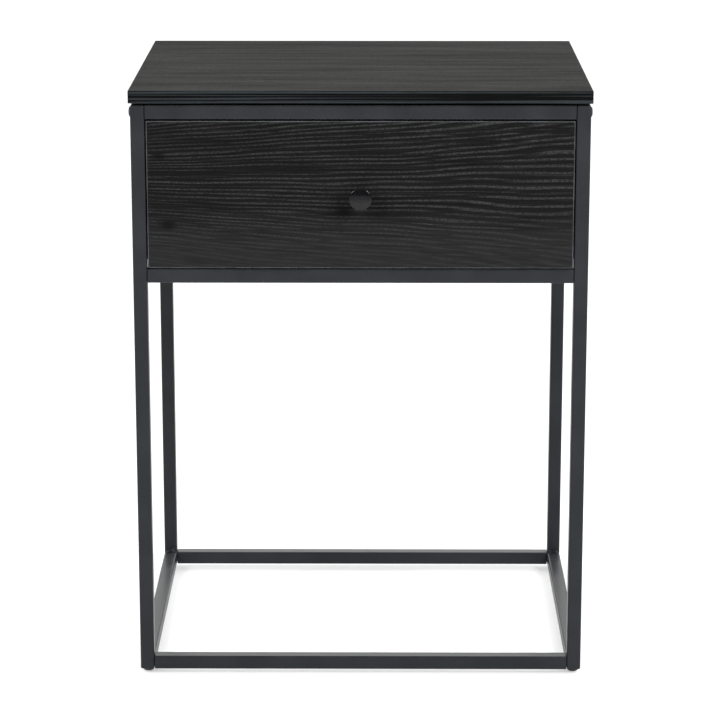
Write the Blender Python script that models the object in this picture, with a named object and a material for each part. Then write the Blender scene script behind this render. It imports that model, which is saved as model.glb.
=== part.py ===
"""Side table with one drawer: a square-tube frame, a board top and a drawer on roller slides.

Metres, +Z up, and the front faces -Y. The origin lies on the floor, below the middle of the
whole table's box, knob included. The pieces are laid out about the table's own middle and
hang from the empty "table_middle", which stands a little behind the origin for that reason.
"""

import math

import bmesh
import bpy
from mathutils import Matrix, Vector

# Overall
TOP_WIDTH = 0.450
TOP_DEPTH = 0.350
TOP_THICKNESS = 0.0125
HEIGHT = 0.598
TOP_OVERHANG = 0.0017
TOP_GAP = 0.002
TOP_EDGE = 0.0006
FIT_GAP = 0.0003

# Square tube
TUBE = 0.014
TUBE_RADIUS = 0.002
TUBE_WALL = 0.0012
CORNER_STEPS = 2
END_PLATE = 0.003

# Feet
FOOT_HEIGHT = 0.005
FOOT_RADIUS = 0.0055
FOOT_STEM_RADIUS = 0.003
FOOT_STEM_HEIGHT = 0.0055
FOOT_INSET = 0.0145

# Bolts and screws
ROUND_STEPS = 12
SINK_STEPS = 20
BOLT_RADIUS = 0.0025
BOLT_LENGTH = 0.023
BOLT_HEAD_RADIUS = 0.005
BOLT_HEAD_HEIGHT = 0.0013
BOLT_TIP = 0.001
SOCKET_RADIUS = 0.0016
SCREW_RADIUS = 0.002
SCREW_HEAD_RADIUS = 0.004
SCREW_HEAD_HEIGHT = 0.0022
SCREW_LENGTH = 0.0135
SCREW_TIP = 0.002
LUG_SIZE = 0.014
LUG_THICKNESS = 0.002
LUG_FROM_MIDDLE = 0.120

# Drawer level and case
DRAWER_RAIL_BOTTOM = 0.4073
PANEL = 0.012
PANEL_EDGE = 0.0005
PANEL_FROM_LEG_FACE = 0.001

# Drawer
FRONT_SIDE_GAP = 0.0011
FRONT_END_GAP = 0.0012
FRONT_THICKNESS = 0.012
BOX_HALF_WIDTH = 0.1978
BOX_REAR = 0.145
BOX_BOTTOM = 0.430
BOX_TOP = 0.545
FLOOR_BOTTOM = 0.436
FLOOR_THICKNESS = 0.003
FLOOR_IN_GROOVE = 0.005

# Knob
KNOB_PROJECTION = 0.023
KNOB_RADIUS = 0.011
KNOB_NECK_RADIUS = 0.0048
KNOB_FOOT_RADIUS = 0.0065
KNOB_HEAD_THICKNESS = 0.0085
KNOB_RIM = 0.0012
KNOB_BORE_DEPTH = 0.012
KNOB_STEPS = 28

# Roller slides
SLIDE_BOTTOM = 0.428
SLIDE_FRONT = -0.157
SLIDE_REAR = 0.143
SHEET = 0.0012
CHANNEL_HEIGHT = 0.034
FLANGE_WIDTH = 0.0085
ROLLER_RADIUS = 0.009
ROLLER_WIDTH = 0.006
ROLLER_BORE = 0.0029
ROLLER_STEPS = 24
ROLLER_CHAMFER = 0.0006
ROLLER_GAP = 0.00015
ROLLER_FROM_END = 0.009
PIN_RADIUS = 0.0025
PIN_HEAD_RADIUS = 0.004
RUNNER_HOLE_RADIUS = 0.0022
RUNNER_HOLES = (-0.110, 0.0, 0.110)

# Worked out from the above
FRAME_HALF_WIDTH = TOP_WIDTH / 2 - TOP_OVERHANG
FRAME_HALF_DEPTH = TOP_DEPTH / 2 - TOP_OVERHANG
TOP_BOTTOM = HEIGHT - TOP_THICKNESS
FRAME_TOP = TOP_BOTTOM - TOP_GAP
LEG_X = FRAME_HALF_WIDTH - TUBE / 2
LEG_Y = FRAME_HALF_DEPTH - TUBE / 2
INNER_X = FRAME_HALF_WIDTH - TUBE
INNER_Y = FRAME_HALF_DEPTH - TUBE
DRAWER_RAIL_TOP = DRAWER_RAIL_BOTTOM + TUBE
LEVELS = {
    "bottom": FOOT_HEIGHT + TUBE / 2,
    "drawer": DRAWER_RAIL_BOTTOM + TUBE / 2,
    "top": FRAME_TOP - TUBE / 2,
}
FLUSH_LEVELS = ("drawer", "bottom")
OPENING_TOP = FRAME_TOP - TUBE
BODY_Y = (FRAME_HALF_DEPTH + KNOB_PROJECTION - TOP_DEPTH / 2) / 2
FRONT_FACE = -FRAME_HALF_DEPTH
FRONT_BACK = FRONT_FACE + FRONT_THICKNESS
PANEL_INNER_X = INNER_X + PANEL_FROM_LEG_FACE
KNOB_Z = (DRAWER_RAIL_TOP + OPENING_TOP) / 2
LUG_X = INNER_X - LUG_SIZE / 2
LUG_TOP = FRAME_TOP - FIT_GAP
ROLLER_Z = SLIDE_BOTTOM + SHEET + ROLLER_GAP + ROLLER_RADIUS
DRAWER_FLANGE_BOTTOM = ROLLER_Z + ROLLER_RADIUS + ROLLER_GAP
SIDES = {"left": -1, "right": 1}
ENDS = {"front": -1, "rear": 1}

# Rotations that turn a piece built along +Z
ALONG_X = (0, math.pi / 2, 0)
ALONG_MINUS_X = (0, -math.pi / 2, 0)
ALONG_Y = (-math.pi / 2, 0, 0)
ALONG_MINUS_Y = (math.pi / 2, 0, 0)


def material(name, colour, roughness, metallic=0.0):
    made = bpy.data.materials.new(name)
    made.use_nodes = True
    shader = made.node_tree.nodes["Principled BSDF"]
    shader.inputs["Base Color"].default_value = (*colour, 1.0)
    shader.inputs["Roughness"].default_value = roughness
    shader.inputs["Metallic"].default_value = metallic
    return made


def add_empty(name, location, parent=None):
    empty = bpy.data.objects.new(name, None)
    empty.location = location
    empty.parent = parent
    bpy.context.scene.collection.objects.link(empty)
    return empty


def add_object(name, bm, finish, location, parent, rotation=(0, 0, 0)):
    """A mesh object from bm, with its faces turned outwards and its round faces smooth."""
    bmesh.ops.recalc_face_normals(bm, faces=bm.faces[:])
    mesh = bpy.data.meshes.new(name)
    bm.to_mesh(mesh)
    bm.free()
    mesh.shade_smooth()
    mesh.set_sharp_from_angle(angle=math.radians(35))
    if finish:
        mesh.materials.append(finish)
    made = bpy.data.objects.new(name, mesh)
    made.location = location
    made.rotation_euler = rotation
    made.parent = parent
    bpy.context.scene.collection.objects.link(made)
    return made


def cut(piece, cutter, operation="DIFFERENCE"):
    """Cuts piece with cutter, or joins them, and keeps the cutter out of the model."""
    cutter.hide_render = True
    cutter.display_type = "WIRE"
    boolean = piece.modifiers.new(cutter.name, "BOOLEAN")
    boolean.operation = operation
    boolean.solver = "EXACT"
    boolean.object = cutter


def box_shape(size):
    bm = bmesh.new()
    bmesh.ops.create_cube(bm, size=1.0, matrix=Matrix.Diagonal((*size, 1.0)))
    return bm


def add_box(name, low, high, finish, parent, edge=0.0):
    """A block between two corners, its edges softened by edge."""
    low = Vector(low)
    high = Vector(high)
    made = add_object(name, box_shape(high - low), finish, (low + high) / 2, parent)
    if edge:
        bevel = made.modifiers.new("soft_edges", "BEVEL")
        bevel.width = edge
        bevel.segments = 1
    return made


def turned(profile, steps, closed=False):
    """A solid turned about Z from (radius, height) points. A closed profile makes a ring."""
    bm = bmesh.new()
    points = [bm.verts.new((radius, 0.0, height)) for radius, height in profile]
    pairs = list(zip(points, points[1:]))
    if closed:
        pairs.append((points[-1], points[0]))
    edges = [bm.edges.new(pair) for pair in pairs]
    bmesh.ops.spin(
        bm,
        geom=points + edges,
        cent=(0, 0, 0),
        axis=(0, 0, 1),
        angle=2 * math.pi,
        steps=steps,
        use_merge=True,
    )
    bmesh.ops.remove_doubles(bm, verts=bm.verts[:], dist=1e-6)
    return bm


def rod_cutter(name, radius, length, location, parent, rotation=(0, 0, 0), steps=ROUND_STEPS):
    profile = [(0, -length / 2), (radius, -length / 2), (radius, length / 2), (0, length / 2)]
    return add_object(name, turned(profile, steps), None, location, parent, rotation)


def rounded_square(half, radius):
    """Corner points of a square section, anticlockwise, each corner an arc."""
    points = []
    for quarter in range(4):
        start = quarter * math.pi / 2
        middle = start + math.pi / 4
        centre_x = math.copysign(half - radius, math.cos(middle))
        centre_y = math.copysign(half - radius, math.sin(middle))
        for step in range(CORNER_STEPS + 1):
            angle = start + step / CORNER_STEPS * math.pi / 2
            points.append((centre_x + radius * math.cos(angle), centre_y + radius * math.sin(angle)))
    return points


def prism(section, half_length, slope=0.0):
    """Two rings of a bar along Z. The side at -Y is the long one where the ends are mitred."""
    rings = []
    for end in (-1, 1):
        rings.append([(x, y, end * (half_length - slope * (y + TUBE / 2))) for x, y in section])
    return rings


def add_ring_faces(bm, first, second):
    count = len(first)
    for i in range(count):
        after = (i + 1) % count
        bm.faces.new((first[i], first[after], second[after], second[i]))


def tube_shape(length, mitred):
    """Open square tube along Z."""
    slope = 1.0 if mitred else 0.0
    half_length = length / 2 - (FIT_GAP / math.sqrt(2) if mitred else FIT_GAP)
    bm = bmesh.new()
    outside = prism(rounded_square(TUBE / 2, TUBE_RADIUS), half_length, slope)
    inside = prism(rounded_square(TUBE / 2 - TUBE_WALL, TUBE_RADIUS - TUBE_WALL), half_length, slope)
    outer = [[bm.verts.new(point) for point in ring] for ring in outside]
    inner = [[bm.verts.new(point) for point in ring] for ring in inside]
    add_ring_faces(bm, outer[0], outer[1])
    add_ring_faces(bm, inner[1], inner[0])
    add_ring_faces(bm, inner[0], outer[0])
    add_ring_faces(bm, outer[1], inner[1])
    return bm


def bar_shape(half, radius, length):
    """Solid square bar along Z."""
    bm = bmesh.new()
    rings = prism(rounded_square(half, radius), length / 2)
    low, high = [[bm.verts.new(point) for point in ring] for ring in rings]
    add_ring_faces(bm, low, high)
    bm.faces.new(low)
    bm.faces.new(high)
    return bm


def extruded(outline, length):
    """An outline in the XZ plane, drawn out along Y."""
    bm = bmesh.new()
    face = bm.faces.new([bm.verts.new((x, -length / 2, z)) for x, z in outline])
    drawn = bmesh.ops.extrude_face_region(bm, geom=[face])
    moved = [item for item in drawn["geom"] if isinstance(item, bmesh.types.BMVert)]
    bmesh.ops.translate(bm, verts=moved, vec=(0, length, 0))
    return bm


def make_materials():
    return {
        "board": material("black_ash_board", (0.028, 0.027, 0.027), 0.55),
        "coat": material("black_powder_coat", (0.032, 0.035, 0.040), 0.45),
        "knob": material("gloss_black_knob", (0.012, 0.012, 0.014), 0.22),
        "plastic": material("black_plastic", (0.020, 0.020, 0.020), 0.5),
        "roller": material("white_roller_plastic", (0.62, 0.62, 0.60), 0.4),
        "zinc": material("zinc_steel", (0.55, 0.56, 0.58), 0.35, 1.0),
        "box": material("dark_drawer_foil", (0.045, 0.044, 0.043), 0.6),
        "floor": material("dark_hardboard", (0.050, 0.048, 0.046), 0.7),
    }


def add_top(finishes, parent):
    """The board, with a blind hole under it for each of its screws."""
    half = Vector((TOP_WIDTH / 2, TOP_DEPTH / 2))
    low = (-half.x, -half.y, TOP_BOTTOM)
    top = add_box("top_board", low, (half.x, half.y, HEIGHT), finishes["board"], parent, TOP_EDGE)
    hole_radius = SCREW_RADIUS + FIT_GAP
    hole_depth = SCREW_LENGTH - LUG_THICKNESS - TOP_GAP + FIT_GAP
    for end, y_sign in ENDS.items():
        for side, x_sign in SIDES.items():
            place = (x_sign * LUG_X, y_sign * LUG_FROM_MIDDLE, TOP_BOTTOM)
            name = f"cut_pilot_{end}_{side}"
            cut(top, rod_cutter(name, hole_radius, 2 * hole_depth, place, parent))


def add_board_fixings(finishes, parent):
    """A screw up through each lug, and the spacer washer that it passes through."""
    screw = [
        (0, -SCREW_HEAD_HEIGHT),
        (SCREW_HEAD_RADIUS * 0.7, -SCREW_HEAD_HEIGHT),
        (SCREW_HEAD_RADIUS, -SCREW_HEAD_HEIGHT * 0.5),
        (SCREW_HEAD_RADIUS, 0),
        (SCREW_RADIUS, 0),
        (SCREW_RADIUS, SCREW_LENGTH - SCREW_TIP),
        (0, SCREW_LENGTH),
    ]
    bore = SCREW_RADIUS + FIT_GAP
    washer_bottom = LUG_TOP + FIT_GAP
    washer_height = TOP_BOTTOM - FIT_GAP - washer_bottom
    washer = [
        (bore, 0),
        (LUG_SIZE / 2, 0),
        (LUG_SIZE / 2, washer_height),
        (bore, washer_height),
    ]
    head_z = LUG_TOP - LUG_THICKNESS - FIT_GAP
    for end, y_sign in ENDS.items():
        for side, x_sign in SIDES.items():
            x = x_sign * LUG_X
            y = y_sign * LUG_FROM_MIDDLE
            bm = turned(screw, ROUND_STEPS)
            add_object(f"board_screw_{end}_{side}", bm, finishes["zinc"], (x, y, head_z), parent)
            place = (x, y, washer_bottom)
            bm = turned(washer, ROUND_STEPS, closed=True)
            add_object(f"spacer_{end}_{side}", bm, finishes["plastic"], place, parent)


def add_bolt_holes(parent):
    """Hole cutters across the side frames, by level, end and side."""
    holes = {}
    radius = BOLT_RADIUS + FIT_GAP
    for level, z in LEVELS.items():
        for end, y_sign in ENDS.items():
            for side, x_sign in SIDES.items():
                name = f"cut_bolt_{level}_{end}_{side}"
                place = (x_sign * LEG_X, y_sign * LEG_Y, z)
                holes[level, end, side] = rod_cutter(name, radius, 2 * TUBE, place, parent, ALONG_X)
    return holes


def sink_shape():
    """A countersink for a flush bolt head, opening at zero and narrowing along +Z."""
    mouth = BOLT_HEAD_RADIUS + 2 * FIT_GAP
    return turned([(0, -TUBE_WALL), (mouth, -TUBE_WALL), (mouth, 0), (0, mouth)], SINK_STEPS)


def add_sinks(parent):
    """Countersink cutters for the flush bolts, by level, end and side."""
    sinks = {}
    for level in FLUSH_LEVELS:
        for end, y_sign in ENDS.items():
            for side, x_sign in SIDES.items():
                name = f"cut_sink_{level}_{end}_{side}"
                place = (x_sign * FRAME_HALF_WIDTH, y_sign * LEG_Y, LEVELS[level])
                inwards = ALONG_MINUS_X if x_sign > 0 else ALONG_X
                made = add_object(name, sink_shape(), None, place, parent, inwards)
                sinks[level, end, side] = made
    return sinks


def add_legs(holes, sinks, finishes, parent):
    length = FRAME_TOP - FOOT_HEIGHT
    for end, y_sign in ENDS.items():
        for side, x_sign in SIDES.items():
            place = (x_sign * LEG_X, y_sign * LEG_Y, FOOT_HEIGHT + length / 2)
            turn = (0, 0, 0) if end == "front" else (0, 0, math.pi)
            bm = tube_shape(length, mitred=True)
            leg = add_object(f"leg_{end}_{side}", bm, finishes["coat"], place, parent, turn)
            for level in LEVELS:
                cut(leg, holes[level, end, side])
            for level in FLUSH_LEVELS:
                cut(leg, sinks[level, end, side])


def add_side_rails(holes, sinks, finishes, parent):
    """Front-to-back rails: mitred to the legs at the top and bottom, butted at drawer level."""
    for side, x_sign in SIDES.items():
        x = x_sign * LEG_X
        for level, turn in (("top", ALONG_Y), ("bottom", ALONG_MINUS_Y)):
            bm = tube_shape(2 * FRAME_HALF_DEPTH, mitred=True)
            name = f"side_{level}_rail_{side}"
            rail = add_object(name, bm, finishes["coat"], (x, 0, LEVELS[level]), parent, turn)
            for end in ENDS:
                cut(rail, holes[level, end, side])
                if level in FLUSH_LEVELS:
                    cut(rail, sinks[level, end, side])
            if level == "top":
                add_lugs(rail, side, x_sign, parent)
            else:
                add_foot_holes(rail, side, x, parent)
        bm = tube_shape(2 * INNER_Y, mitred=False)
        name = f"side_drawer_rail_{side}"
        add_object(name, bm, finishes["coat"], (x, 0, LEVELS["drawer"]), parent, ALONG_Y)


def add_lugs(rail, side, x_sign, parent):
    """Joins two drilled plates to the inner side of a top rail, just under its top."""
    inner_x = x_sign * (INNER_X - LUG_SIZE)
    weld_x = x_sign * (INNER_X + TUBE_RADIUS)
    for end, y_sign in ENDS.items():
        y = y_sign * LUG_FROM_MIDDLE
        low = (min(inner_x, weld_x), y - LUG_SIZE / 2, LUG_TOP - LUG_THICKNESS)
        high = (max(inner_x, weld_x), y + LUG_SIZE / 2, LUG_TOP)
        lug = add_box(f"join_lug_{end}_{side}", low, high, None, parent)
        cut(rail, lug, "UNION")
        hole = rod_cutter(
            f"cut_lug_{end}_{side}",
            SCREW_RADIUS + FIT_GAP,
            TUBE / 2,
            (x_sign * LUG_X, y, LUG_TOP),
            parent,
        )
        cut(rail, hole)


def add_foot_holes(rail, side, x, parent):
    for end, y_sign in ENDS.items():
        place = (x, y_sign * (FRAME_HALF_DEPTH - FOOT_INSET), FOOT_HEIGHT)
        radius = FOOT_STEM_RADIUS + FIT_GAP
        cut(rail, rod_cutter(f"cut_foot_{end}_{side}", radius, TUBE / 2, place, parent))


def add_cross_rails(finishes, parent):
    """Left-to-right rails: closed by drilled end plates that the frame bolts screw into."""
    length = 2 * (INNER_X - FIT_GAP)
    for end, y_sign in ENDS.items():
        for level, z in LEVELS.items():
            name = f"{end}_{level}_rail"
            place = (0, y_sign * LEG_Y, z)
            bm = bar_shape(TUBE / 2, TUBE_RADIUS, length)
            rail = add_object(name, bm, finishes["coat"], place, parent, ALONG_X)
            half = TUBE / 2 - TUBE_WALL
            hollow = bar_shape(half, TUBE_RADIUS - TUBE_WALL, length - 2 * END_PLATE)
            cut(rail, add_object(f"cut_hollow_{name}", hollow, None, place, parent, ALONG_X))
            radius = BOLT_RADIUS + FIT_GAP
            cut(rail, rod_cutter(f"cut_ends_{name}", radius, 2 * length, place, parent, ALONG_X))


def bolt_shape(flush):
    """A bolt along Z with its head's underside at zero: domed, or tapered to sit flush."""
    if flush:
        head = [
            (0, 0),
            (BOLT_HEAD_RADIUS, 0),
            (BOLT_RADIUS, BOLT_HEAD_RADIUS - BOLT_RADIUS),
        ]
    else:
        head = [
            (0, -BOLT_HEAD_HEIGHT),
            (BOLT_HEAD_RADIUS * 0.55, -BOLT_HEAD_HEIGHT),
            (BOLT_HEAD_RADIUS * 0.9, -BOLT_HEAD_HEIGHT * 0.6),
            (BOLT_HEAD_RADIUS, 0),
            (BOLT_RADIUS, 0),
        ]
    tip = [
        (BOLT_RADIUS, BOLT_LENGTH - BOLT_TIP),
        (BOLT_RADIUS * 0.6, BOLT_LENGTH),
        (0, BOLT_LENGTH),
    ]
    return turned(head + tip, ROUND_STEPS)


def add_bolts(finishes, parent):
    """One bolt through each leg at each level: domed heads at the top, flush ones below."""
    for level, z in LEVELS.items():
        flush = level in FLUSH_LEVELS
        head_x = FRAME_HALF_WIDTH - FIT_GAP if flush else FRAME_HALF_WIDTH + FIT_GAP
        socket_depth = BOLT_HEAD_HEIGHT * 0.8
        socket_x = head_x if flush else head_x + BOLT_HEAD_HEIGHT
        for end, y_sign in ENDS.items():
            for side, x_sign in SIDES.items():
                turn = ALONG_MINUS_X if x_sign > 0 else ALONG_X
                name = f"bolt_{level}_{end}_{side}"
                place = (x_sign * head_x, y_sign * LEG_Y, z)
                bolt = add_object(name, bolt_shape(flush), finishes["coat"], place, parent, turn)
                socket = rod_cutter(
                    f"cut_socket_{level}_{end}_{side}",
                    SOCKET_RADIUS,
                    2 * socket_depth,
                    (x_sign * socket_x, y_sign * LEG_Y, z),
                    parent,
                    turn,
                    steps=6,
                )
                cut(bolt, socket)


def add_feet(finishes, parent):
    disc_height = FOOT_HEIGHT - FIT_GAP
    profile = [
        (0, 0),
        (FOOT_RADIUS * 0.88, 0),
        (FOOT_RADIUS, disc_height * 0.2),
        (FOOT_RADIUS, disc_height),
        (FOOT_STEM_RADIUS, disc_height),
        (FOOT_STEM_RADIUS, disc_height + FOOT_STEM_HEIGHT),
        (0, disc_height + FOOT_STEM_HEIGHT),
    ]
    for end, y_sign in ENDS.items():
        for side, x_sign in SIDES.items():
            place = (x_sign * LEG_X, y_sign * (FRAME_HALF_DEPTH - FOOT_INSET), 0)
            bm = turned(profile, ROUND_STEPS + 4)
            add_object(f"foot_{end}_{side}", bm, finishes["plastic"], place, parent)


def add_case(finishes, parent):
    """Side and back panels, set into the frame around the drawer."""
    low_z = DRAWER_RAIL_TOP + FIT_GAP
    high_z = OPENING_TOP - FIT_GAP
    half_depth = INNER_Y - FIT_GAP
    for side, x_sign in SIDES.items():
        inner = x_sign * PANEL_INNER_X
        outer = x_sign * (PANEL_INNER_X + PANEL)
        low = (min(inner, outer), -half_depth, low_z)
        high = (max(inner, outer), half_depth, high_z)
        add_box(f"side_panel_{side}", low, high, finishes["board"], parent, PANEL_EDGE)
    half_width = INNER_X - FIT_GAP
    low_y = INNER_Y + PANEL_FROM_LEG_FACE
    low = (-half_width, low_y, low_z)
    high = (half_width, low_y + PANEL, high_z)
    add_box("back_panel", low, high, finishes["board"], parent, PANEL_EDGE)


def pin_shape(length):
    """A roller's pin along Z, with its head at the far end."""
    head = SHEET
    return turned(
        [
            (0, 0),
            (PIN_RADIUS, 0),
            (PIN_RADIUS, length - head),
            (PIN_HEAD_RADIUS, length - head),
            (PIN_HEAD_RADIUS, length),
            (0, length),
        ],
        ROUND_STEPS,
    )


def add_runner(name, outline, x_sign, web_x, pin, finishes, parent):
    """A pressed runner with its screw holes, and its roller's pin joined to its web."""
    length = SLIDE_REAR - SLIDE_FRONT
    middle_y = (SLIDE_FRONT + SLIDE_REAR) / 2
    points = [(x_sign * x, z) for x, z in outline]
    bm = extruded(points, length)
    runner = add_object(name, bm, finishes["zinc"], (0, middle_y, 0), parent)
    pin_x, pin_y, pin_turn, pin_length = pin
    place = (x_sign * pin_x, pin_y, ROLLER_Z)
    pin_name = f"join_pin_{name}"
    joined = add_object(pin_name, pin_shape(pin_length), None, place, parent, pin_turn)
    cut(runner, joined, "UNION")
    for number, from_middle in enumerate(RUNNER_HOLES):
        hole = rod_cutter(
            f"cut_hole_{name}_{number}",
            RUNNER_HOLE_RADIUS,
            4 * SHEET,
            (x_sign * web_x, from_middle, ROLLER_Z),
            parent,
            ALONG_X,
        )
        cut(runner, hole)


def add_slides(finishes, table, drawer):
    """A channel on each side panel and an angle on each drawer side, with a roller on each."""
    channel_back = PANEL_INNER_X - FIT_GAP
    channel_web = channel_back - SHEET
    flange_tip = channel_web - FLANGE_WIDTH
    channel_top = SLIDE_BOTTOM + CHANNEL_HEIGHT
    channel = [
        (channel_back, SLIDE_BOTTOM),
        (channel_back, channel_top),
        (flange_tip, channel_top),
        (flange_tip, channel_top - SHEET),
        (channel_web, channel_top - SHEET),
        (channel_web, SLIDE_BOTTOM + SHEET),
        (flange_tip, SLIDE_BOTTOM + SHEET),
        (flange_tip, SLIDE_BOTTOM),
    ]
    angle_back = BOX_HALF_WIDTH + FIT_GAP
    angle_web = angle_back + SHEET
    angle_tip = angle_web + FLANGE_WIDTH
    angle_top = DRAWER_FLANGE_BOTTOM + SHEET
    angle = [
        (angle_back, BOX_BOTTOM),
        (angle_web, BOX_BOTTOM),
        (angle_web, DRAWER_FLANGE_BOTTOM),
        (angle_tip, DRAWER_FLANGE_BOTTOM),
        (angle_tip, angle_top),
        (angle_back, angle_top),
    ]
    pin_length = ROLLER_WIDTH + 2 * SHEET + 2 * FIT_GAP
    sunk = SHEET / 2
    roller_from_web = ROLLER_WIDTH / 2 + 2 * FIT_GAP
    front_y = SLIDE_FRONT + ROLLER_FROM_END
    rear_y = SLIDE_REAR - ROLLER_FROM_END
    for side, x_sign in SIDES.items():
        inwards = ALONG_MINUS_X if x_sign > 0 else ALONG_X
        outwards = ALONG_X if x_sign > 0 else ALONG_MINUS_X
        pin = (channel_web + sunk, front_y, inwards, pin_length)
        web_x = channel_web + SHEET / 2
        add_runner(f"cabinet_runner_{side}", channel, x_sign, web_x, pin, finishes, table)
        pin = (angle_web - sunk, rear_y, outwards, pin_length)
        web_x = angle_web - SHEET / 2
        add_runner(f"drawer_runner_{side}", angle, x_sign, web_x, pin, finishes, drawer)
        place = (x_sign * (channel_web - roller_from_web), front_y, ROLLER_Z)
        add_roller(f"cabinet_roller_{side}", place, finishes, table)
        place = (x_sign * (angle_web + roller_from_web), rear_y, ROLLER_Z)
        add_roller(f"drawer_roller_{side}", place, finishes, drawer)


def add_roller(name, place, finishes, parent):
    half = ROLLER_WIDTH / 2
    profile = [
        (ROLLER_BORE, -half),
        (ROLLER_RADIUS - ROLLER_CHAMFER, -half),
        (ROLLER_RADIUS, -half + ROLLER_CHAMFER),
        (ROLLER_RADIUS, half - ROLLER_CHAMFER),
        (ROLLER_RADIUS - ROLLER_CHAMFER, half),
        (ROLLER_BORE, half),
    ]
    bm = turned(profile, ROLLER_STEPS, closed=True)
    add_object(name, bm, finishes["roller"], place, parent, ALONG_X)


def add_drawer(finishes, drawer):
    """The drawer front and box. The floor slides in from behind, in grooves."""
    groove_top = FLOOR_BOTTOM + FLOOR_THICKNESS + FIT_GAP
    inner_x = BOX_HALF_WIDTH - PANEL
    groove_x = inner_x + FLOOR_IN_GROOVE + FIT_GAP
    groove_front = FRONT_BACK - FLOOR_IN_GROOVE - FIT_GAP
    groove_low = (-groove_x, groove_front, FLOOR_BOTTOM - FIT_GAP)
    groove_high = (groove_x, BOX_REAR + PANEL, groove_top)
    groove = add_box("cut_groove", groove_low, groove_high, None, drawer)

    half_width = INNER_X - FRONT_SIDE_GAP
    low = (-half_width, FRONT_FACE, DRAWER_RAIL_TOP + FRONT_END_GAP)
    high = (half_width, FRONT_BACK, OPENING_TOP - FRONT_END_GAP)
    front = add_box("drawer_front", low, high, finishes["board"], drawer, PANEL_EDGE)
    hole_radius = SCREW_RADIUS + FIT_GAP
    place = (0, FRONT_FACE, KNOB_Z)
    cut(front, groove)
    cut(front, rod_cutter("cut_knob_hole", hole_radius, 4 * PANEL, place, drawer, ALONG_Y))

    for side, x_sign in SIDES.items():
        edges = sorted((x_sign * inner_x, x_sign * BOX_HALF_WIDTH))
        low = (edges[0], FRONT_BACK + FIT_GAP, BOX_BOTTOM)
        high = (edges[1], BOX_REAR, BOX_TOP)
        panel = add_box(f"drawer_side_{side}", low, high, finishes["box"], drawer, PANEL_EDGE)
        cut(panel, groove)

    half_width = inner_x - FIT_GAP
    low = (-half_width, BOX_REAR - PANEL, groove_top)
    high = (half_width, BOX_REAR, BOX_TOP)
    add_box("drawer_back", low, high, finishes["box"], drawer, PANEL_EDGE)

    half_width = inner_x + FLOOR_IN_GROOVE
    low = (-half_width, FRONT_BACK - FLOOR_IN_GROOVE, FLOOR_BOTTOM)
    high = (half_width, BOX_REAR, FLOOR_BOTTOM + FLOOR_THICKNESS)
    add_box("drawer_bottom", low, high, finishes["floor"], drawer)


def add_knob(finishes, drawer):
    """A turned knob, its foot on the drawer front, and the screw that holds it from inside."""
    start = FIT_GAP
    neck_end = KNOB_PROJECTION - KNOB_HEAD_THICKNESS
    bore = SCREW_RADIUS + FIT_GAP
    profile = [
        (0, KNOB_BORE_DEPTH),
        (bore, KNOB_BORE_DEPTH),
        (bore, start),
        (KNOB_FOOT_RADIUS, start),
        (KNOB_FOOT_RADIUS, start + 0.0015),
        (KNOB_NECK_RADIUS, start + 0.0040),
        (KNOB_NECK_RADIUS, neck_end - 0.0030),
        (KNOB_RADIUS * 0.72, neck_end - 0.0006),
        (KNOB_RADIUS - KNOB_RIM / 2, neck_end + 0.0010),
        (KNOB_RADIUS, neck_end + 0.0030),
        (KNOB_RADIUS, KNOB_PROJECTION - KNOB_RIM),
        (KNOB_RADIUS - KNOB_RIM, KNOB_PROJECTION),
        (KNOB_RADIUS - 2 * KNOB_RIM, KNOB_PROJECTION),
        (KNOB_RADIUS - 3 * KNOB_RIM, KNOB_PROJECTION - KNOB_RIM / 3),
        (0, KNOB_PROJECTION - KNOB_RIM / 3),
    ]
    place = (0, FRONT_FACE, KNOB_Z)
    bm = turned(profile, KNOB_STEPS)
    add_object("knob", bm, finishes["knob"], place, drawer, ALONG_MINUS_Y)

    head_face = FIT_GAP
    reach = FRONT_THICKNESS + KNOB_BORE_DEPTH - 2 * FIT_GAP
    screw = [
        (0, -head_face - SCREW_HEAD_HEIGHT),
        (SCREW_HEAD_RADIUS * 0.7, -head_face - SCREW_HEAD_HEIGHT),
        (SCREW_HEAD_RADIUS, -head_face - SCREW_HEAD_HEIGHT * 0.5),
        (SCREW_HEAD_RADIUS, -head_face),
        (SCREW_RADIUS, -head_face),
        (SCREW_RADIUS, reach),
        (0, reach),
    ]
    place = (0, FRONT_BACK, KNOB_Z)
    bm = turned(screw, ROUND_STEPS)
    add_object("knob_screw", bm, finishes["zinc"], place, drawer, ALONG_MINUS_Y)


def main():
    for found in list(bpy.data.objects):
        bpy.data.objects.remove(found, do_unlink=True)
    finishes = make_materials()
    table = add_empty("table_middle", (0, BODY_Y, 0))
    drawer = add_empty("drawer_slide_axis", (0, 0, 0), table)
    add_top(finishes, table)
    add_board_fixings(finishes, table)
    holes = add_bolt_holes(table)
    sinks = add_sinks(table)
    add_legs(holes, sinks, finishes, table)
    add_side_rails(holes, sinks, finishes, table)
    add_cross_rails(finishes, table)
    add_bolts(finishes, table)
    add_feet(finishes, table)
    add_case(finishes, table)
    add_slides(finishes, table, drawer)
    add_drawer(finishes, drawer)
    add_knob(finishes, drawer)


if __name__ == "__main__":
    main()
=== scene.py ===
"""Looks for a side table with one drawer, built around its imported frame."""

import math

import bmesh
import bpy
from mathutils import Matrix, Vector, noise


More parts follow.
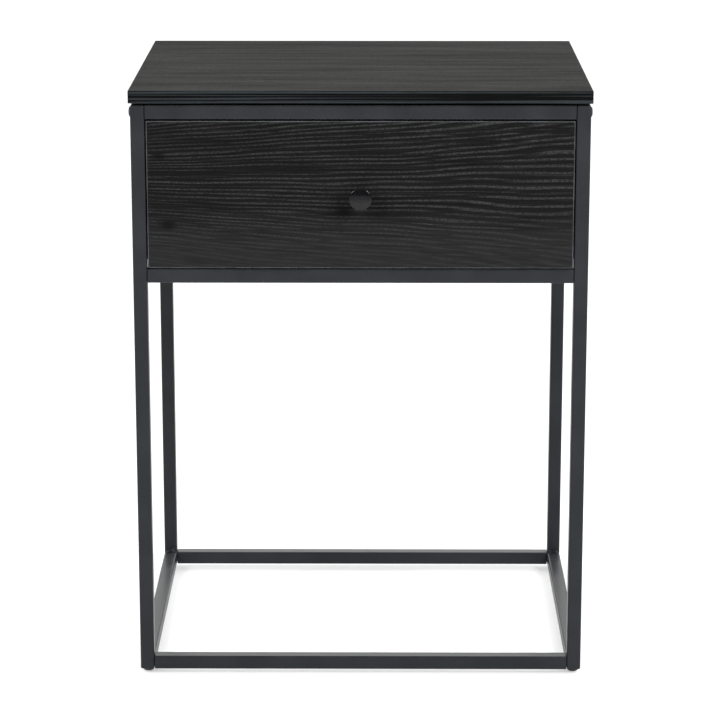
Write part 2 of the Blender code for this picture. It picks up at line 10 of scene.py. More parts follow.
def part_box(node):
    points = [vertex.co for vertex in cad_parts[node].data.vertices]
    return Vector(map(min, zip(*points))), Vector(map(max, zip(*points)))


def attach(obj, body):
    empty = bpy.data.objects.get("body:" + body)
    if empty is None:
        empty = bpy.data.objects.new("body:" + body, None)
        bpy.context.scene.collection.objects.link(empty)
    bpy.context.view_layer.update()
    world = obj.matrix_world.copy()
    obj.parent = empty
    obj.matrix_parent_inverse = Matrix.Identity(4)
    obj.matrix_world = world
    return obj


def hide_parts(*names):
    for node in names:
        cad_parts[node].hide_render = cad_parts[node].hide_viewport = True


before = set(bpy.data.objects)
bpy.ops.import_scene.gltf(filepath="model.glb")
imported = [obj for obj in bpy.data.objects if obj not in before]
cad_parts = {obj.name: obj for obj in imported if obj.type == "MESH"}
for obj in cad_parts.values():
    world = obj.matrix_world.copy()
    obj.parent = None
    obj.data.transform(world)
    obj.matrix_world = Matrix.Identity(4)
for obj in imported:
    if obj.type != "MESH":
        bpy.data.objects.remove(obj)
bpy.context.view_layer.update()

bl_info = {
    "name": "Side table with drawer",
    "version": (1, 0, 0),
    "blender": (4, 5, 0),
    "location": "3D View > Sidebar > Side table",
    "description": "Builds the visible pieces and finishes of a side table with one drawer",
    "category": "Add Mesh",
}

SIDES = {"left": -1, "right": 1}
ENDS = ("front", "rear")
LEVELS = ("top", "drawer", "bottom")
FLUSH_LEVELS = ("drawer", "bottom")
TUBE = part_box("leg_front_left")[1].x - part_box("leg_front_left")[0].x
SAME_POINT = 1e-7
FIT_GAP = 0.0003
SMOOTH_ANGLE = math.radians(35)

# A face is flat along an axis if its unit normal has more than this along it.
ON_THE_SQUARE = 0.999

# The foil: the spacing of its light lines, and (x, z, radius) of the drawer front's dark smudges.
LINE_SPACING = 0.0046
KNOTS = ((-0.196, 0.538, 0.012), (-0.188, 0.459, 0.014), (-0.016, 0.480, 0.012))

# Weld beads. Ripples and lumps are shares of a bead's radius, and the drawer rails' and the other
# small beads are shares of the large ones in the frames' corners.
BEAD_STEP = 0.0004
BEAD_SIDES = 14
RIPPLE_DEPTH = 0.12
RIPPLE_SPACING = 0.0024
LUMP_DEPTH = 0.75
LUMPS_PER_METRE = 380
RAIL_BEAD = 0.42
SMALL_BEAD = 0.35
SPATTER_SPREAD = Vector((0.010, 0.006, 0.004))
SPATTER_RADIUS = 0.0006
SPATTER_COUNT = 6

LUG_SHEET = 0.002
LUG_HOLE = 0.0023

# Runners: the width of the flanges, the slots' places as shares of the length, and the screws'
# distances from the middle.
FLANGE = 0.0085
SLOT_PLACES = (-0.26, 0.22)
SLOT_HALF_LENGTH = 0.006
SLOT_RADIUS = 0.0022
SCREW_PLACES = (-0.103, 0.007, 0.117)

MAP_RANGE_SOCKETS = ("From Min", "From Max", "To Min", "To Max")


# Shapes


def close_up(bm):
    """Joins the points that fall together, and turns the faces outwards."""
    bmesh.ops.remove_doubles(bm, verts=bm.verts[:], dist=SAME_POINT)
    bmesh.ops.recalc_face_normals(bm, faces=bm.faces[:])


def finish_object(name, bm, finishes, body, nodes, weighted=True):
    """Makes a piece from bm, rides it on a body and lets it stand for the CAD nodes named."""
    close_up(bm)
    mesh = bpy.data.meshes.new(name)
    bm.to_mesh(mesh)
    bm.free()
    for finish in finishes:
        mesh.materials.append(finish)
    mesh.shade_smooth()
    mesh.set_sharp_from_angle(angle=SMOOTH_ANGLE)
    piece = bpy.data.objects.new(name, mesh)
    bpy.context.scene.collection.objects.link(piece)
    if weighted:
        shading = piece.modifiers.new("flat_faces_stay_flat", "WEIGHTED_NORMAL")
        shading.keep_sharp = True
    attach(piece, body)
    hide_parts(*nodes)
    return piece


def bridge(bm, rings, closed=False, finish=0):
    """Faces between each ring of points and the next. A closed run joins the last to the first."""
    made = [[bm.verts.new(point) for point in ring] for ring in rings]
    pairs = list(zip(made, made[1:]))
    if closed:
        pairs.append((made[-1], made[0]))
    for first, second in pairs:
        count = len(first)
        for i in range(count):
            after = (i + 1) % count
            face = bm.faces.new((first[i], first[after], second[after], second[i]))
            face.material_index = finish
    return made


def cap(bm, ring, finish=0):
    face = bm.faces.new(ring)
    face.material_index = finish


def rounded_outline(half_u, half_v, radius, steps):
    """Points of a rectangle with round corners, anticlockwise about zero."""
    points = []
    for quarter in range(4):
        middle = (quarter + 0.5) * math.pi / 2
        centre_u = math.copysign(half_u - radius, math.cos(middle))
        centre_v = math.copysign(half_v - radius, math.sin(middle))
        for step in range(steps + 1):
            angle = (quarter + step / steps) * math.pi / 2
            points.append((centre_u + radius * math.cos(angle), centre_v + radius * math.sin(angle)))
    return points


def along(axis, u, v, w):
    """The point that is w along an axis, with u and v across it in the axes' own order."""
    point = [u, v]
    point.insert("xyz".index(axis), w)
    return Vector(point)


def full_turn(steps):
    return [step / steps * 2 * math.pi for step in range(steps)]


def round_ring(radius, height, turns):
    return [Vector((radius * math.cos(turn), radius * math.sin(turn), height)) for turn in turns]


def side_face(low, high, sign):
    """X of a box's left face for a sign of -1, and of its right face for 1."""
    return high.x if sign > 0 else low.x


def edge_arc(radius, steps):
    """(inset, rise) points of a rounded edge, from its side round to its face."""
    turns = [step / steps * math.pi / 2 for step in range(steps + 1)]
    return [(radius * (1 - math.cos(turn)), radius * math.sin(turn)) for turn in turns]


def panel_shape(low, high, axis, edge=0.0005, corner=0.0008, seam=None, band=1):
    """A board between two corners, thin along axis, with round edges.

    Its faces have finish 0 and its edges the finish that band says. seam is the inset of a
    fine glue line, finish 2, between the edge band and the face on the board's high side.
    """
    low = Vector(low)
    high = Vector(high)
    middle = (low + high) / 2
    half = (high - low) / 2
    across = [i for i in range(3) if i != "xyz".index(axis)]
    half_u, half_v = half[across[0]], half[across[1]]
    half_w = half["xyz".index(axis)]
    arc = edge_arc(edge, 3)
    levels = [(inset, edge - rise - half_w) for inset, rise in reversed(arc)]
    levels += [(inset, half_w - edge + rise) for inset, rise in arc]

    def ring(inset, w):
        outline = rounded_outline(half_u - inset, half_v - inset, corner, 4)
        return [middle + along(axis, u, v, w) for u, v in outline]

    bm = bmesh.new()
    rings = bridge(bm, [ring(*level) for level in levels], finish=band)
    cap(bm, rings[0])
    if seam:
        bottom = (seam + 0.0002, half_w - 0.0003)
        lips = [(edge, half_w), (seam, half_w), bottom, (seam + 0.0004, half_w)]
        groove = bridge(bm, [ring(*level) for level in lips], finish=2)
        cap(bm, groove[-1])
    else:
        cap(bm, rings[-1])
    return bm


def turned(profile, steps=48, closed=False):
    """A shape turned about Z from (radius, height) points."""
    bm = bmesh.new()
    turns = full_turn(steps)
    made = bridge(bm, [round_ring(*point, turns) for point in profile], closed=closed)
    if not closed:
        cap(bm, made[0])
        cap(bm, made[-1])
    return bm


def hexagon(turn):
    """How far a hexagon's side lies from its middle at a turn, for a corner at 1."""
    sixth = math.pi / 3
    return math.cos(sixth / 2) / math.cos(turn % sixth - sixth / 2)


def cross(turn):
    """The same for a cross recess with four round arms."""
    return 0.36 + 0.64 * abs(math.cos(2 * turn)) ** 3


def socketed(profile, socket, socket_radius, depth, steps=48):
    """A turned head whose first point is the rim of a driving socket of the shape given."""
    turns = full_turn(steps)
    top = profile[0][1]

    def socket_ring(share, height):
        reach = [socket_radius * share * socket(turn) for turn in turns]
        return [Vector((r * math.cos(t), r * math.sin(t), height)) for r, t in zip(reach, turns)]

    rings = [socket_ring(0.82, top - depth), socket_ring(0.94, top - 0.00015), socket_ring(1.0, top)]
    rings += [round_ring(*point, turns) for point in profile]
    bm = bmesh.new()
    made = bridge(bm, rings)
    cap(bm, made[0])
    cap(bm, made[-1])
    return bm


def face_along(bm, direction, place):
    """Turns a shape made along +Z to a direction, and moves it to its place."""
    turn = Vector((0, 0, 1)).rotation_difference(Vector(direction)).to_matrix().to_4x4()
    bmesh.ops.transform(bm, matrix=Matrix.Translation(place) @ turn, verts=bm.verts[:])
    return bm


def join(bm, other):
    """Adds the faces of other to bm."""
    copies = {vert: bm.verts.new(vert.co) for vert in other.verts}
    for face in other.faces:
        made = bm.faces.new([copies[vert] for vert in face.verts])
        made.material_index = face.material_index
    other.free()


def weld_bead(bm, start, end, radius, finish=1):
    """A rippled weld bead between two points, its ends drawn down into the metal."""
    start = Vector(start)
    end = Vector(end)
    run = end - start
    steps = max(8, round(run.length / BEAD_STEP))
    side = run.orthogonal().normalized()
    other = run.normalized().cross(side)
    rings = []
    for step in range(steps + 1):
        share = step / steps
        place = start + run * share
        ripple = 1 + RIPPLE_DEPTH * math.sin(share * run.length / RIPPLE_SPACING * 2 * math.pi)
        taper = min(1.0, 0.25 + 6 * min(share, 1 - share))
        ring = []
        for turn in full_turn(BEAD_SIDES):
            out = side * math.cos(turn) + other * math.sin(turn)
            lump = 1 + LUMP_DEPTH * noise.noise((place + out * radius) * LUMPS_PER_METRE)
            ring.append(place + out * radius * ripple * taper * lump)
        rings.append(ring)
    made = bridge(bm, rings, finish=finish)
    cap(bm, made[0], finish)
    cap(bm, made[-1], finish)


def spatter(bm, place, finish=1):
    """Small beads of weld metal scattered about a place."""
    for number in range(SPATTER_COUNT):
        offset = noise.noise_vector(Vector(place) * 900 + Vector((number, 0, 0)))
        at_place = Matrix.Translation(Vector(place) + offset * SPATTER_SPREAD)
        size = SPATTER_RADIUS * (0.6 + 0.5 * abs(offset.x))
        ball = bmesh.ops.create_icosphere(bm, subdivisions=2, radius=size, matrix=at_place)
        for face in {face for vert in ball["verts"] for face in vert.link_faces}:
            face.material_index = finish


# Finishes


class Finish:
    """A material's nodes, made in a few words."""

    def __init__(self, name, roughness=0.5, metallic=0.0, specular=0.5):
        self.material = bpy.data.materials.new(name)
        self.material.use_nodes = True
        self.tree = self.material.node_tree
        self.shader = self.tree.nodes["Principled BSDF"]
        self.shader.inputs["Roughness"].default_value = roughness
        self.shader.inputs["Metallic"].default_value = metallic
        self.shader.inputs["Specular IOR Level"].default_value = specular
        self.place = self.node("ShaderNodeTexCoord").outputs["Object"]

    def node(self, kind, **inputs):
        made = self.tree.nodes.new(kind)
        for name, value in inputs.items():
            self.give(made.inputs[name.replace("_", " ")], value)
        return made

    def give(self, socket, value):
        if isinstance(value, bpy.types.NodeSocket):
            self.tree.links.new(value, socket)
        else:
            socket.default_value = value

    def operate(self, kind, operation, values):
        made = self.node(kind)
        made.operation = operation
        for socket, value in zip(made.inputs, values):
            self.give(socket, value)
        return made.outputs

    def math(self, operation, *values):
        return self.operate("ShaderNodeMath", operation, values)[0]

    def times(self, first, *others):
        for other in others:
            first = self.math("MULTIPLY", first, other)
        return first

    def plus(self, first, second):
        return self.math("ADD", first, second)

    def vector(self, operation, first, second, output="Vector"):
        return self.operate("ShaderNodeVectorMath", operation, (first, second))[output]

    def stretched(self, place, amounts):
        """place scaled by a different amount along each axis."""
        return self.vector("MULTIPLY", place, amounts)

    def cloud(self, place, scale=1.0, detail=2.0, roughness=0.5):
        """Soft noise about place, mostly between 0.3 and 0.7."""
        settings = {"Vector": place, "Scale": scale, "Detail": detail, "Roughness": roughness}
        return self.node("ShaderNodeTexNoise", **settings).outputs["Fac"]

    def between(self, value, low, high, out_low=0.0, out_high=1.0):
        """value, with low to high spread over out_low to out_high and held there outside."""
        made = self.node("ShaderNodeMapRange", Value=value)
        made.interpolation_type = "SMOOTHSTEP"
        for name, given in zip(MAP_RANGE_SOCKETS, (low, high, out_low, out_high)):
            self.give(made.inputs[name], given)
        return made.outputs["Result"]

    def mix(self, share, first, second):
        """A colour between two, by share."""
        made = self.node("ShaderNodeMix")
        made.data_type = "RGBA"
        self.give(made.inputs["Factor"], share)
        for name, value in (("A", first), ("B", second)):
            socket = next(s for s in made.inputs if s.name == name and s.type == "RGBA")
            self.give(socket, value if isinstance(value, bpy.types.NodeSocket) else (*value, 1.0))
        return next(s for s in made.outputs if s.type == "RGBA")

    def colour(self, value):
        self.give(self.shader.inputs["Base Color"], value)

    def rough(self, value):
        self.give(self.shader.inputs["Roughness"], value)

    def bump(self, height, strength, distance):
        made = self.node("ShaderNodeBump", Height=height, Strength=strength, Distance=distance)
        self.give(self.shader.inputs["Normal"], made.outputs["Normal"])


def shade(colour, amount):
    return tuple(part * amount for part in colour[:3])


def ash_foil(
    name, colour, grain, contrast=1.0, roughness=(0.44, 0.60), fan=0.0, knots=(), calm=0.0, specular=0.07
):
    """Black ash look foil: broad dark figure, and light pores drawn out along the grain axis.

    fan spreads the lines apart along X. knots are (x, z, radius) smudges. Under the height that
    calm gives, the pores fade and the foil is lighter.
    """
    finish = Finish(name, specular=specular)
    axis = "xyz".index(grain)

    def along_grain(run, across):
        return tuple(run if i == axis else across for i in range(3))

    crosswise = along_grain(0.0, 1.0)
    split = finish.node("ShaderNodeSeparateXYZ", Vector=finish.place)
    drift = finish.cloud(finish.stretched(finish.place, along_grain(3.5, 9.0)), detail=2.0)
    drift = finish.times(finish.math("SUBTRACT", drift, 0.5), 0.012)
    if fan:
        rise = finish.math("SUBTRACT", split.outputs["Z"], 0.5)
        drift = finish.plus(drift, finish.times(split.outputs["X"], rise, fan))
    place = finish.vector("ADD", finish.place, finish.vector("MULTIPLY", crosswise, drift))

    figure = finish.cloud(finish.stretched(place, along_grain(3.0, 30.0)), detail=3.0)
    lines = finish.cloud(finish.stretched(place, along_grain(4.5, 460.0)), detail=1.5)
    flecks = finish.cloud(finish.stretched(place, along_grain(14.0, 980.0)), detail=2.0)
    fine = finish.cloud(finish.stretched(place, along_grain(70.0, 2600.0)), detail=1.0)

    body = finish.mix(finish.between(figure, 0.35, 0.68), shade(colour, 0.72), shade(colour, 1.18))
    strength = finish.between(figure, 0.25, 0.60, 0.45, 1.0)
    dark = finish.between(lines, 0.46, 0.34)
    if calm:
        settled = finish.between(split.outputs["Z"], calm - 0.035, calm + 0.025, 0.40, 1.0)
        strength = finish.times(strength, settled)
        dark = finish.times(dark, settled)
        low = finish.between(split.outputs["Z"], calm - 0.03, calm + 0.03, 1.0, 0.0)
        body = finish.mix(low, body, shade(colour, 3.8))

    wander = finish.cloud(finish.stretched(place, along_grain(5.0, 60.0)), detail=2.0)
    distance = finish.vector("DOT_PRODUCT", place, crosswise, "Value")
    distance = finish.plus(distance, finish.times(wander, 0.009))
    wave = finish.math("SINE", finish.times(distance, 2 * math.pi / LINE_SPACING))
    broken = finish.cloud(finish.stretched(place, along_grain(420.0, 700.0)), detail=1.0)
    streak = finish.times(
        finish.between(wave, -0.1, 0.8),
        finish.between(lines, 0.36, 0.56, 0.25, 1.0),
        finish.between(broken, 0.36, 0.60, 0.35, 1.0),
        strength,
    )
    body = finish.mix(finish.times(streak, 0.95 * contrast), body, shade(colour, 9.5))
    fleck = finish.times(finish.between(flecks, 0.54, 0.66), strength)
    body = finish.mix(finish.times(fleck, 0.55 * contrast), body, shade(colour, 4.0))
    body = finish.mix(finish.times(dark, 0.65 * contrast), body, shade(colour, 0.30))
    for knot_x, knot_z, radius in knots:
        flat_place = finish.stretched(place, (1.0, 0.0, 1.6))
        distance = finish.vector("DISTANCE", flat_place, (knot_x, 0.0, knot_z * 1.6), "Value")
        smudge = finish.between(distance, radius, radius * 0.1, 0.0, 0.85)
        body = finish.mix(smudge, body, shade(colour, 0.2))
    finish.colour(body)
    finish.rough(finish.between(lines, 0.35, 0.70, roughness[1], roughness[0]))
    finish.bump(finish.plus(finish.times(flecks, 0.6), finish.times(fine, 0.4)), 0.25, 0.0003)
    return finish


def edge_band(name, colour, grain):
    """The foil's edge band, with a few strong stripes along the grain."""
    finish = Finish(name, specular=0.06)
    axis = "xyz".index(grain)
    run = tuple(3.0 if i == axis else 600.0 for i in range(3))
    fine = tuple(30.0 if i == axis else 1100.0 for i in range(3))
    stripes = finish.cloud(finish.stretched(finish.place, run), detail=2.0, roughness=0.4)
    flecks = finish.cloud(finish.stretched(finish.place, fine), detail=1.0)
    body = finish.mix(finish.between(stripes, 0.44, 0.56), shade(colour, 0.10), shade(colour, 4.4))
    body = finish.mix(finish.between(flecks, 0.50, 0.75, 0.0, 0.5), body, shade(colour, 0.5))
    finish.colour(body)
    finish.rough(finish.between(flecks, 0.3, 0.7, 0.42, 0.58))
    finish.bump(flecks, 0.2, 0.0003)
    return finish


def powder_coat(name, colour, lumps=0.0):
    """Satin powder coat: orange peel, faint mottling and dust on what faces up."""
    finish = Finish(name, specular=0.16)
    peel = finish.cloud(finish.place, 1100.0, 2.0)
    grit = finish.cloud(finish.place, 3600.0, 1.0)
    mottle = finish.cloud(finish.place, 26.0, 3.0)
    body = finish.mix(finish.between(mottle, 0.3, 0.7), shade(colour, 0.86), shade(colour, 1.14))
    body = finish.mix(finish.between(grit, 0.62, 0.80, 0.0, 0.35), body, shade(colour, 2.2))
    normal = finish.node("ShaderNodeNewGeometry").outputs["Normal"]
    upwards = finish.node("ShaderNodeSeparateXYZ", Vector=normal).outputs["Z"]
    dust = finish.times(finish.between(upwards, 0.80, 1.0), finish.between(mottle, 0.35, 0.75, 0.01, 0.06))
    body = finish.mix(dust, body, (0.30, 0.29, 0.27))
    finish.colour(body)
    finish.rough(finish.between(mottle, 0.3, 0.7, 0.32, 0.40))
    height = finish.plus(finish.times(peel, 0.8), finish.times(grit, 0.2))
    if lumps:
        height = finish.plus(height, finish.times(finish.cloud(finish.place, 420.0, 3.0), lumps))
    finish.bump(height, 0.22, 0.0003)
    return finish


def black_oxide(name, colour):
    """Oxidised steel: dark, a little metallic, with fine turning marks and rubbed patches."""
    finish = Finish(name, metallic=0.35, specular=0.5)
    patches = finish.cloud(finish.place, 900.0, 3.0)
    fine = finish.cloud(finish.place, 5200.0, 1.0)
    worn = finish.between(patches, 0.40, 0.72)
    finish.colour(finish.mix(worn, shade(colour, 0.8), shade(colour, 1.9)))
    finish.rough(finish.between(patches, 0.3, 0.7, 0.42, 0.30))
    finish.bump(fine, 0.12, 0.0001)
    return finish


def gloss_enamel(name, colour):
    """Sprayed gloss enamel: deep black under a clear coat, with a very faint ripple."""
    finish = Finish(name, specular=0.12)
    ripple = finish.cloud(finish.place, 240.0, 2.0)
    motes = finish.cloud(finish.place, 2600.0, 1.0)
    depth = finish.between(ripple, 0.35, 0.65)
    finish.colour(finish.mix(depth, shade(colour, 0.85), shade(colour, 1.25)))
    finish.rough(finish.between(motes, 0.35, 0.75, 0.10, 0.18))
    finish.shader.inputs["Coat Weight"].default_value = 0.25
    finish.shader.inputs["Coat Roughness"].default_value = 0.12
    finish.bump(ripple, 0.10, 0.0002)
    return finish


def moulded(name, colour, rough=(0.42, 0.55), through=0.0):
    """Moulded plastic with a fine spark-eroded texture."""
    finish = Finish(name, specular=0.45)
    skin = finish.cloud(finish.place, 2100.0, 2.0)
    flow = finish.cloud(finish.place, 70.0, 2.0)
    finish.colour(finish.mix(finish.between(flow, 0.3, 0.7), shade(colour, 0.88), shade(colour, 1.12)))
    finish.rough(finish.between(skin, 0.3, 0.7, rough[0], rough[1]))
    if through:
        finish.shader.inputs["Subsurface Weight"].default_value = through
        finish.shader.inputs["Subsurface Radius"].default_value = (0.002, 0.002, 0.0016)
        finish.shader.inputs["Subsurface Scale"].default_value = 0.5
    finish.bump(skin, 0.10, 0.0002)
    return finish


def zinc_plate(name, colour):
    """Zinc plated steel: rolled along its length, with pale and dull patches."""
    finish = Finish(name, metallic=1.0)
    rolled = finish.cloud(finish.stretched(finish.place, (1500.0, 26.0, 1500.0)), detail=2.0)
    patches = finish.cloud(finish.place, 90.0, 3.0)
    grains = finish.cloud(finish.place, 900.0, 1.0)
    body = finish.mix(finish.between(patches, 0.3, 0.7), shade(colour, 0.78), shade(colour, 1.1))
    body = finish.mix(finish.between(rolled, 0.35, 0.75, 0.0, 0.35), body, shade(colour, 0.7))
    finish.colour(body)
    finish.rough(finish.between(grains, 0.3, 0.7, 0.26, 0.42))
    finish.bump(rolled, 0.08, 0.0001)
    return finish


def box_foil(name, colour):
    """The drawer box's wrapped foil: dark, with a fine linen emboss."""
    finish = Finish(name, specular=0.35)
    weave = []
    for amounts in ((150.0, 150.0, 2300.0), (2300.0, 2300.0, 150.0)):
        weave.append(finish.cloud(finish.stretched(finish.place, amounts), detail=1.0))
    linen = finish.times(finish.plus(*weave), 0.5)
    cloudy = finish.cloud(finish.place, 14.0, 3.0)
    body = finish.mix(finish.between(linen, 0.40, 0.62), shade(colour, 0.72), shade(colour, 1.28))
    finish.colour(finish.mix(finish.between(cloudy, 0.35, 0.70, 0.0, 0.25), body, shade(colour, 0.6)))
    finish.rough(finish.between(linen, 0.35, 0.65, 0.62, 0.48))
    finish.bump(linen, 0.25, 0.0002)
    return finish


def hardboard(name, colour):
    """Painted hardboard: smooth, with short pressed fibres that show through the paint."""
    finish = Finish(name, specular=0.3)
    fibres = []
    for amounts in ((90.0, 900.0, 900.0), (900.0, 90.0, 900.0)):
        fibre = finish.cloud(finish.stretched(finish.place, amounts), detail=2.0)
        fibres.append(finish.between(fibre, 0.52, 0.74))
    felt = finish.math("MAXIMUM", *fibres)
    cloudy = finish.cloud(finish.place, 18.0, 3.0)
    body = finish.mix(finish.times(felt, 0.5), shade(colour, 0.85), shade(colour, 1.9))
    finish.colour(finish.mix(finish.between(cloudy, 0.35, 0.70, 0.0, 0.3), body, shade(colour, 0.6)))
    finish.rough(finish.between(cloudy, 0.3, 0.7, 0.60, 0.74))
    finish.bump(felt, 0.2, 0.0002)
    return finish


def edge_line(name, colour):
    """The drawer front's rounded edge, painted paler as a highlight in patches, with a few dark nicks."""
    finish = Finish(name, specular=0.3)
    # The paler patches are a painted highlight along the edge; the dark nicks are real marks.
    rubbed = finish.cloud(finish.place, 60.0, 3.0)
    nicks = finish.cloud(finish.place, 900.0, 2.0)
    body = finish.mix(finish.between(rubbed, 0.35, 0.65), shade(colour, 0.55), shade(colour, 1.2))
    finish.colour(finish.mix(finish.between(nicks, 0.56, 0.70, 0.0, 0.7), body, shade(colour, 0.2)))
    finish.rough(finish.between(nicks, 0.3, 0.7, 0.40, 0.55))
    finish.bump(nicks, 0.15, 0.0002)
    return finish


def glue_line(name):
    """The dark glue that shows between the edge band and the face."""
    finish = Finish(name, specular=0.2)
    beads = finish.cloud(finish.place, 800.0, 2.0)
    share = finish.between(beads, 0.3, 0.7)
    finish.colour(finish.mix(share, (0.002, 0.002, 0.002), (0.009, 0.008, 0.008)))
    finish.rough(finish.between(beads, 0.3, 0.7, 0.7, 0.9))
    return finish


def plain_floor(name, colour, glow):
    """A pale floor that glows with painted light: bright round the table, dimmer far out in front."""
    finish = Finish(name, specular=0.1)
    soft = finish.cloud(finish.place, 0.8, 2.0)
    finish.colour(finish.mix(finish.between(soft, 0.3, 0.7), shade(colour, 0.985), shade(colour, 1.0)))
    finish.rough(finish.between(soft, 0.3, 0.7, 0.85, 0.95))
    # The glow is painted light: full near the table and behind it, falling to 0.4 of it from 0.8 to 3.4 m
    # out in front.
    depth = finish.node("ShaderNodeSeparateXYZ", Vector=finish.place).outputs["Y"]
    light = finish.mix(finish.between(depth, -3.4, -0.8), (0.40, 0.40, 0.40), (1.0, 1.0, 1.0))
    finish.give(finish.shader.inputs["Emission Color"], light)
    finish.shader.inputs["Emission Strength"].default_value = glow
    return finish


def finish_named(name):
    """The finish asked for. It is made the first time, from the colours in the settings."""
    made = bpy.data.materials.get(name)
    if made:
        return made
    settings = bpy.context.scene.table_finishes
    colours = {key: tuple(getattr(settings, key)) for key in TableFinishes.__annotations__}
    board, top, band, coat = (colours[key] for key in ("board", "top", "band", "coat"))
    matt = {"contrast": 0.5, "roughness": (0.72, 0.84), "specular": 0.03}
    makers = {
        "ash_top": lambda: ash_foil(name, top, "x", **matt),
        "ash_front": lambda: ash_foil(name, board, "x", fan=-0.8, knots=KNOTS, calm=0.465),
        "ash_cross": lambda: ash_foil(name, board, "x"),
        "ash_side": lambda: ash_foil(name, board, "y"),
        "band_x": lambda: edge_band(name, band, "x"),
        "band_y": lambda: edge_band(name, band, "y"),
        "edge_line": lambda: edge_line(name, colours["edge_line"]),
        "glue_line": lambda: glue_line(name),
        "powder_coat": lambda: powder_coat(name, coat),
        "coated_weld": lambda: powder_coat(name, shade(coat, 1.1), lumps=1.2),
        "black_oxide": lambda: black_oxide(name, colours["bolt"]),
        "gloss_enamel": lambda: gloss_enamel(name, colours["knob"]),
        "black_plastic": lambda: moulded(name, colours["plastic"]),
        "white_nylon": lambda: moulded(name, colours["roller"], (0.34, 0.46), through=0.15),
        "zinc_plate": lambda: zinc_plate(name, colours["zinc"]),
        "box_foil": lambda: box_foil(name, colours["drawer_box"]),
        "hardboard": lambda: hardboard(name, colours["drawer_floor"]),
    }
    return makers[name]().material


def finishes_of(*names):
    return [finish_named(name) for name in names]


# Settings


def colour_setting(label, about, value):
    return bpy.props.FloatVectorProperty(
        name=label, description=about, default=value, size=3, min=0.0, max=1.0, subtype="COLOR"
    )


def length_setting(label, about, value):
    return bpy.props.FloatProperty(
        name=label, description=about, default=value, min=0.0, precision=5, unit="LENGTH"
    )


def light_setting(label, about, value):
    return bpy.props.FloatProperty(name=label, description=about, default=value, min=0.0)


def angle_setting(label, about, value):
    return bpy.props.FloatProperty(name=label, description=about, default=value, subtype="ANGLE")


class TableSizes(bpy.types.PropertyGroup):
    """Fine sizes of the visible pieces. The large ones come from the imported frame."""

    tube_corner: length_setting("Tube corner", "Round of the square tube's long edges", 0.002)
    mitre_corner: length_setting("Mitre corner", "Round of the side frames' ground corners", 0.0014)
    rail_end: length_setting("Rail end", "Round of each cross rail's ends", 0.0004)
    weld: length_setting("Weld", "Radius of the weld beads inside the side frames", 0.0038)
    front_edge: length_setting("Front edge", "Radius of the drawer front's edges", 0.0009)
    band: length_setting("Edge band", "Inset of the board's glue line from its edge", 0.0011)
    board_edge: length_setting("Board edge", "Round of the edges of the boards and panels", 0.0006)
    box_edge: length_setting("Drawer box edge", "Round of the drawer box's wrapped edges", 0.0014)
    sheet: length_setting("Sheet", "Thickness of the runners' steel sheet", 0.0012)
    bend: length_setting("Bend", "Radius of the bends along the runners", 0.0012)


class TableFinishes(bpy.types.PropertyGroup):
    """Base colours of the finishes."""

    board: colour_setting("Board", "Black ash look foil on the panels", (0.0027, 0.0027, 0.0028))
    top: colour_setting("Top", "Black ash look foil on the top", (0.0085, 0.0083, 0.0080))
    band: colour_setting("Edge band", "The board's striped edge band", (0.0036, 0.0044, 0.0048))
    # This colour is a painted highlight on the drawer front's rounded edges.
    edge_line: colour_setting("Edge line", "The rubbed edges of the drawer front", (0.045, 0.047, 0.050))
    coat: colour_setting("Frame", "Powder coat on the steel frame", (0.0125, 0.0137, 0.0160))
    bolt: colour_setting("Bolts", "Black oxide", (0.016, 0.016, 0.018))
    knob: colour_setting("Knob", "Gloss black enamel", (0.0035, 0.0035, 0.004))
    plastic: colour_setting("Feet and spacers", "Moulded black plastic", (0.018, 0.018, 0.018))
    roller: colour_setting("Rollers", "White nylon", (0.62, 0.61, 0.58))
    zinc: colour_setting("Runners and screws", "Zinc plated steel", (0.52, 0.53, 0.55))
    drawer_box: colour_setting("Drawer box", "Dark foil on its sides and back", (0.042, 0.041, 0.040))
    drawer_floor: colour_setting("Drawer floor", "Painted hardboard", (0.046, 0.044, 0.042))


class StageSettings(bpy.types.PropertyGroup):
    """The floor, the soft lights and the camera."""

    floor: colour_setting("Floor", "Plain pale floor", (0.45, 0.45, 0.45))
    floor_radius: length_setting("Floor radius", "How far the floor reaches", 14.0)
    front: light_setting("Front", "Brightness of the surroundings in front", 0.15)
    rear: light_setting("Rear", "Brightness of the surroundings behind", 3.20)
    horizon: light_setting("Horizon", "Share of the brightness that is left near the floor", 0.04)
    floor_glow: light_setting("Floor glow", "Light that the floor gives of itself", 0.44)
    overhead: light_setting("Overhead light", "Power of the large light above, in watts", 10.0)
    side_lights: light_setting("Side lights", "Power of the left side light, in watts", 36.0)
    right_share: light_setting("Right side", "Power of the right side light as a share of the left", 1.25)
    camera_place: bpy.props.FloatVectorProperty(
        name="Camera",
        description="Where the camera stands",
        default=(0.0139, -2.8234, 1.017),
        subtype="TRANSLATION",
    )
    camera_pitch: angle_setting("Pitch", "How far down the camera looks", math.radians(13.89))
    camera_yaw: angle_setting("Yaw", "How far left the camera looks", 0.0054)
    lens: bpy.props.FloatProperty(
        name="Lens", description="Focal length", default=139.07, min=1.0, unit="CAMERA"
    )
    rise: bpy.props.FloatProperty(
        name="Rise", description="Vertical shift of the lens, as a share of the frame", default=-0.04
    )


# Pieces


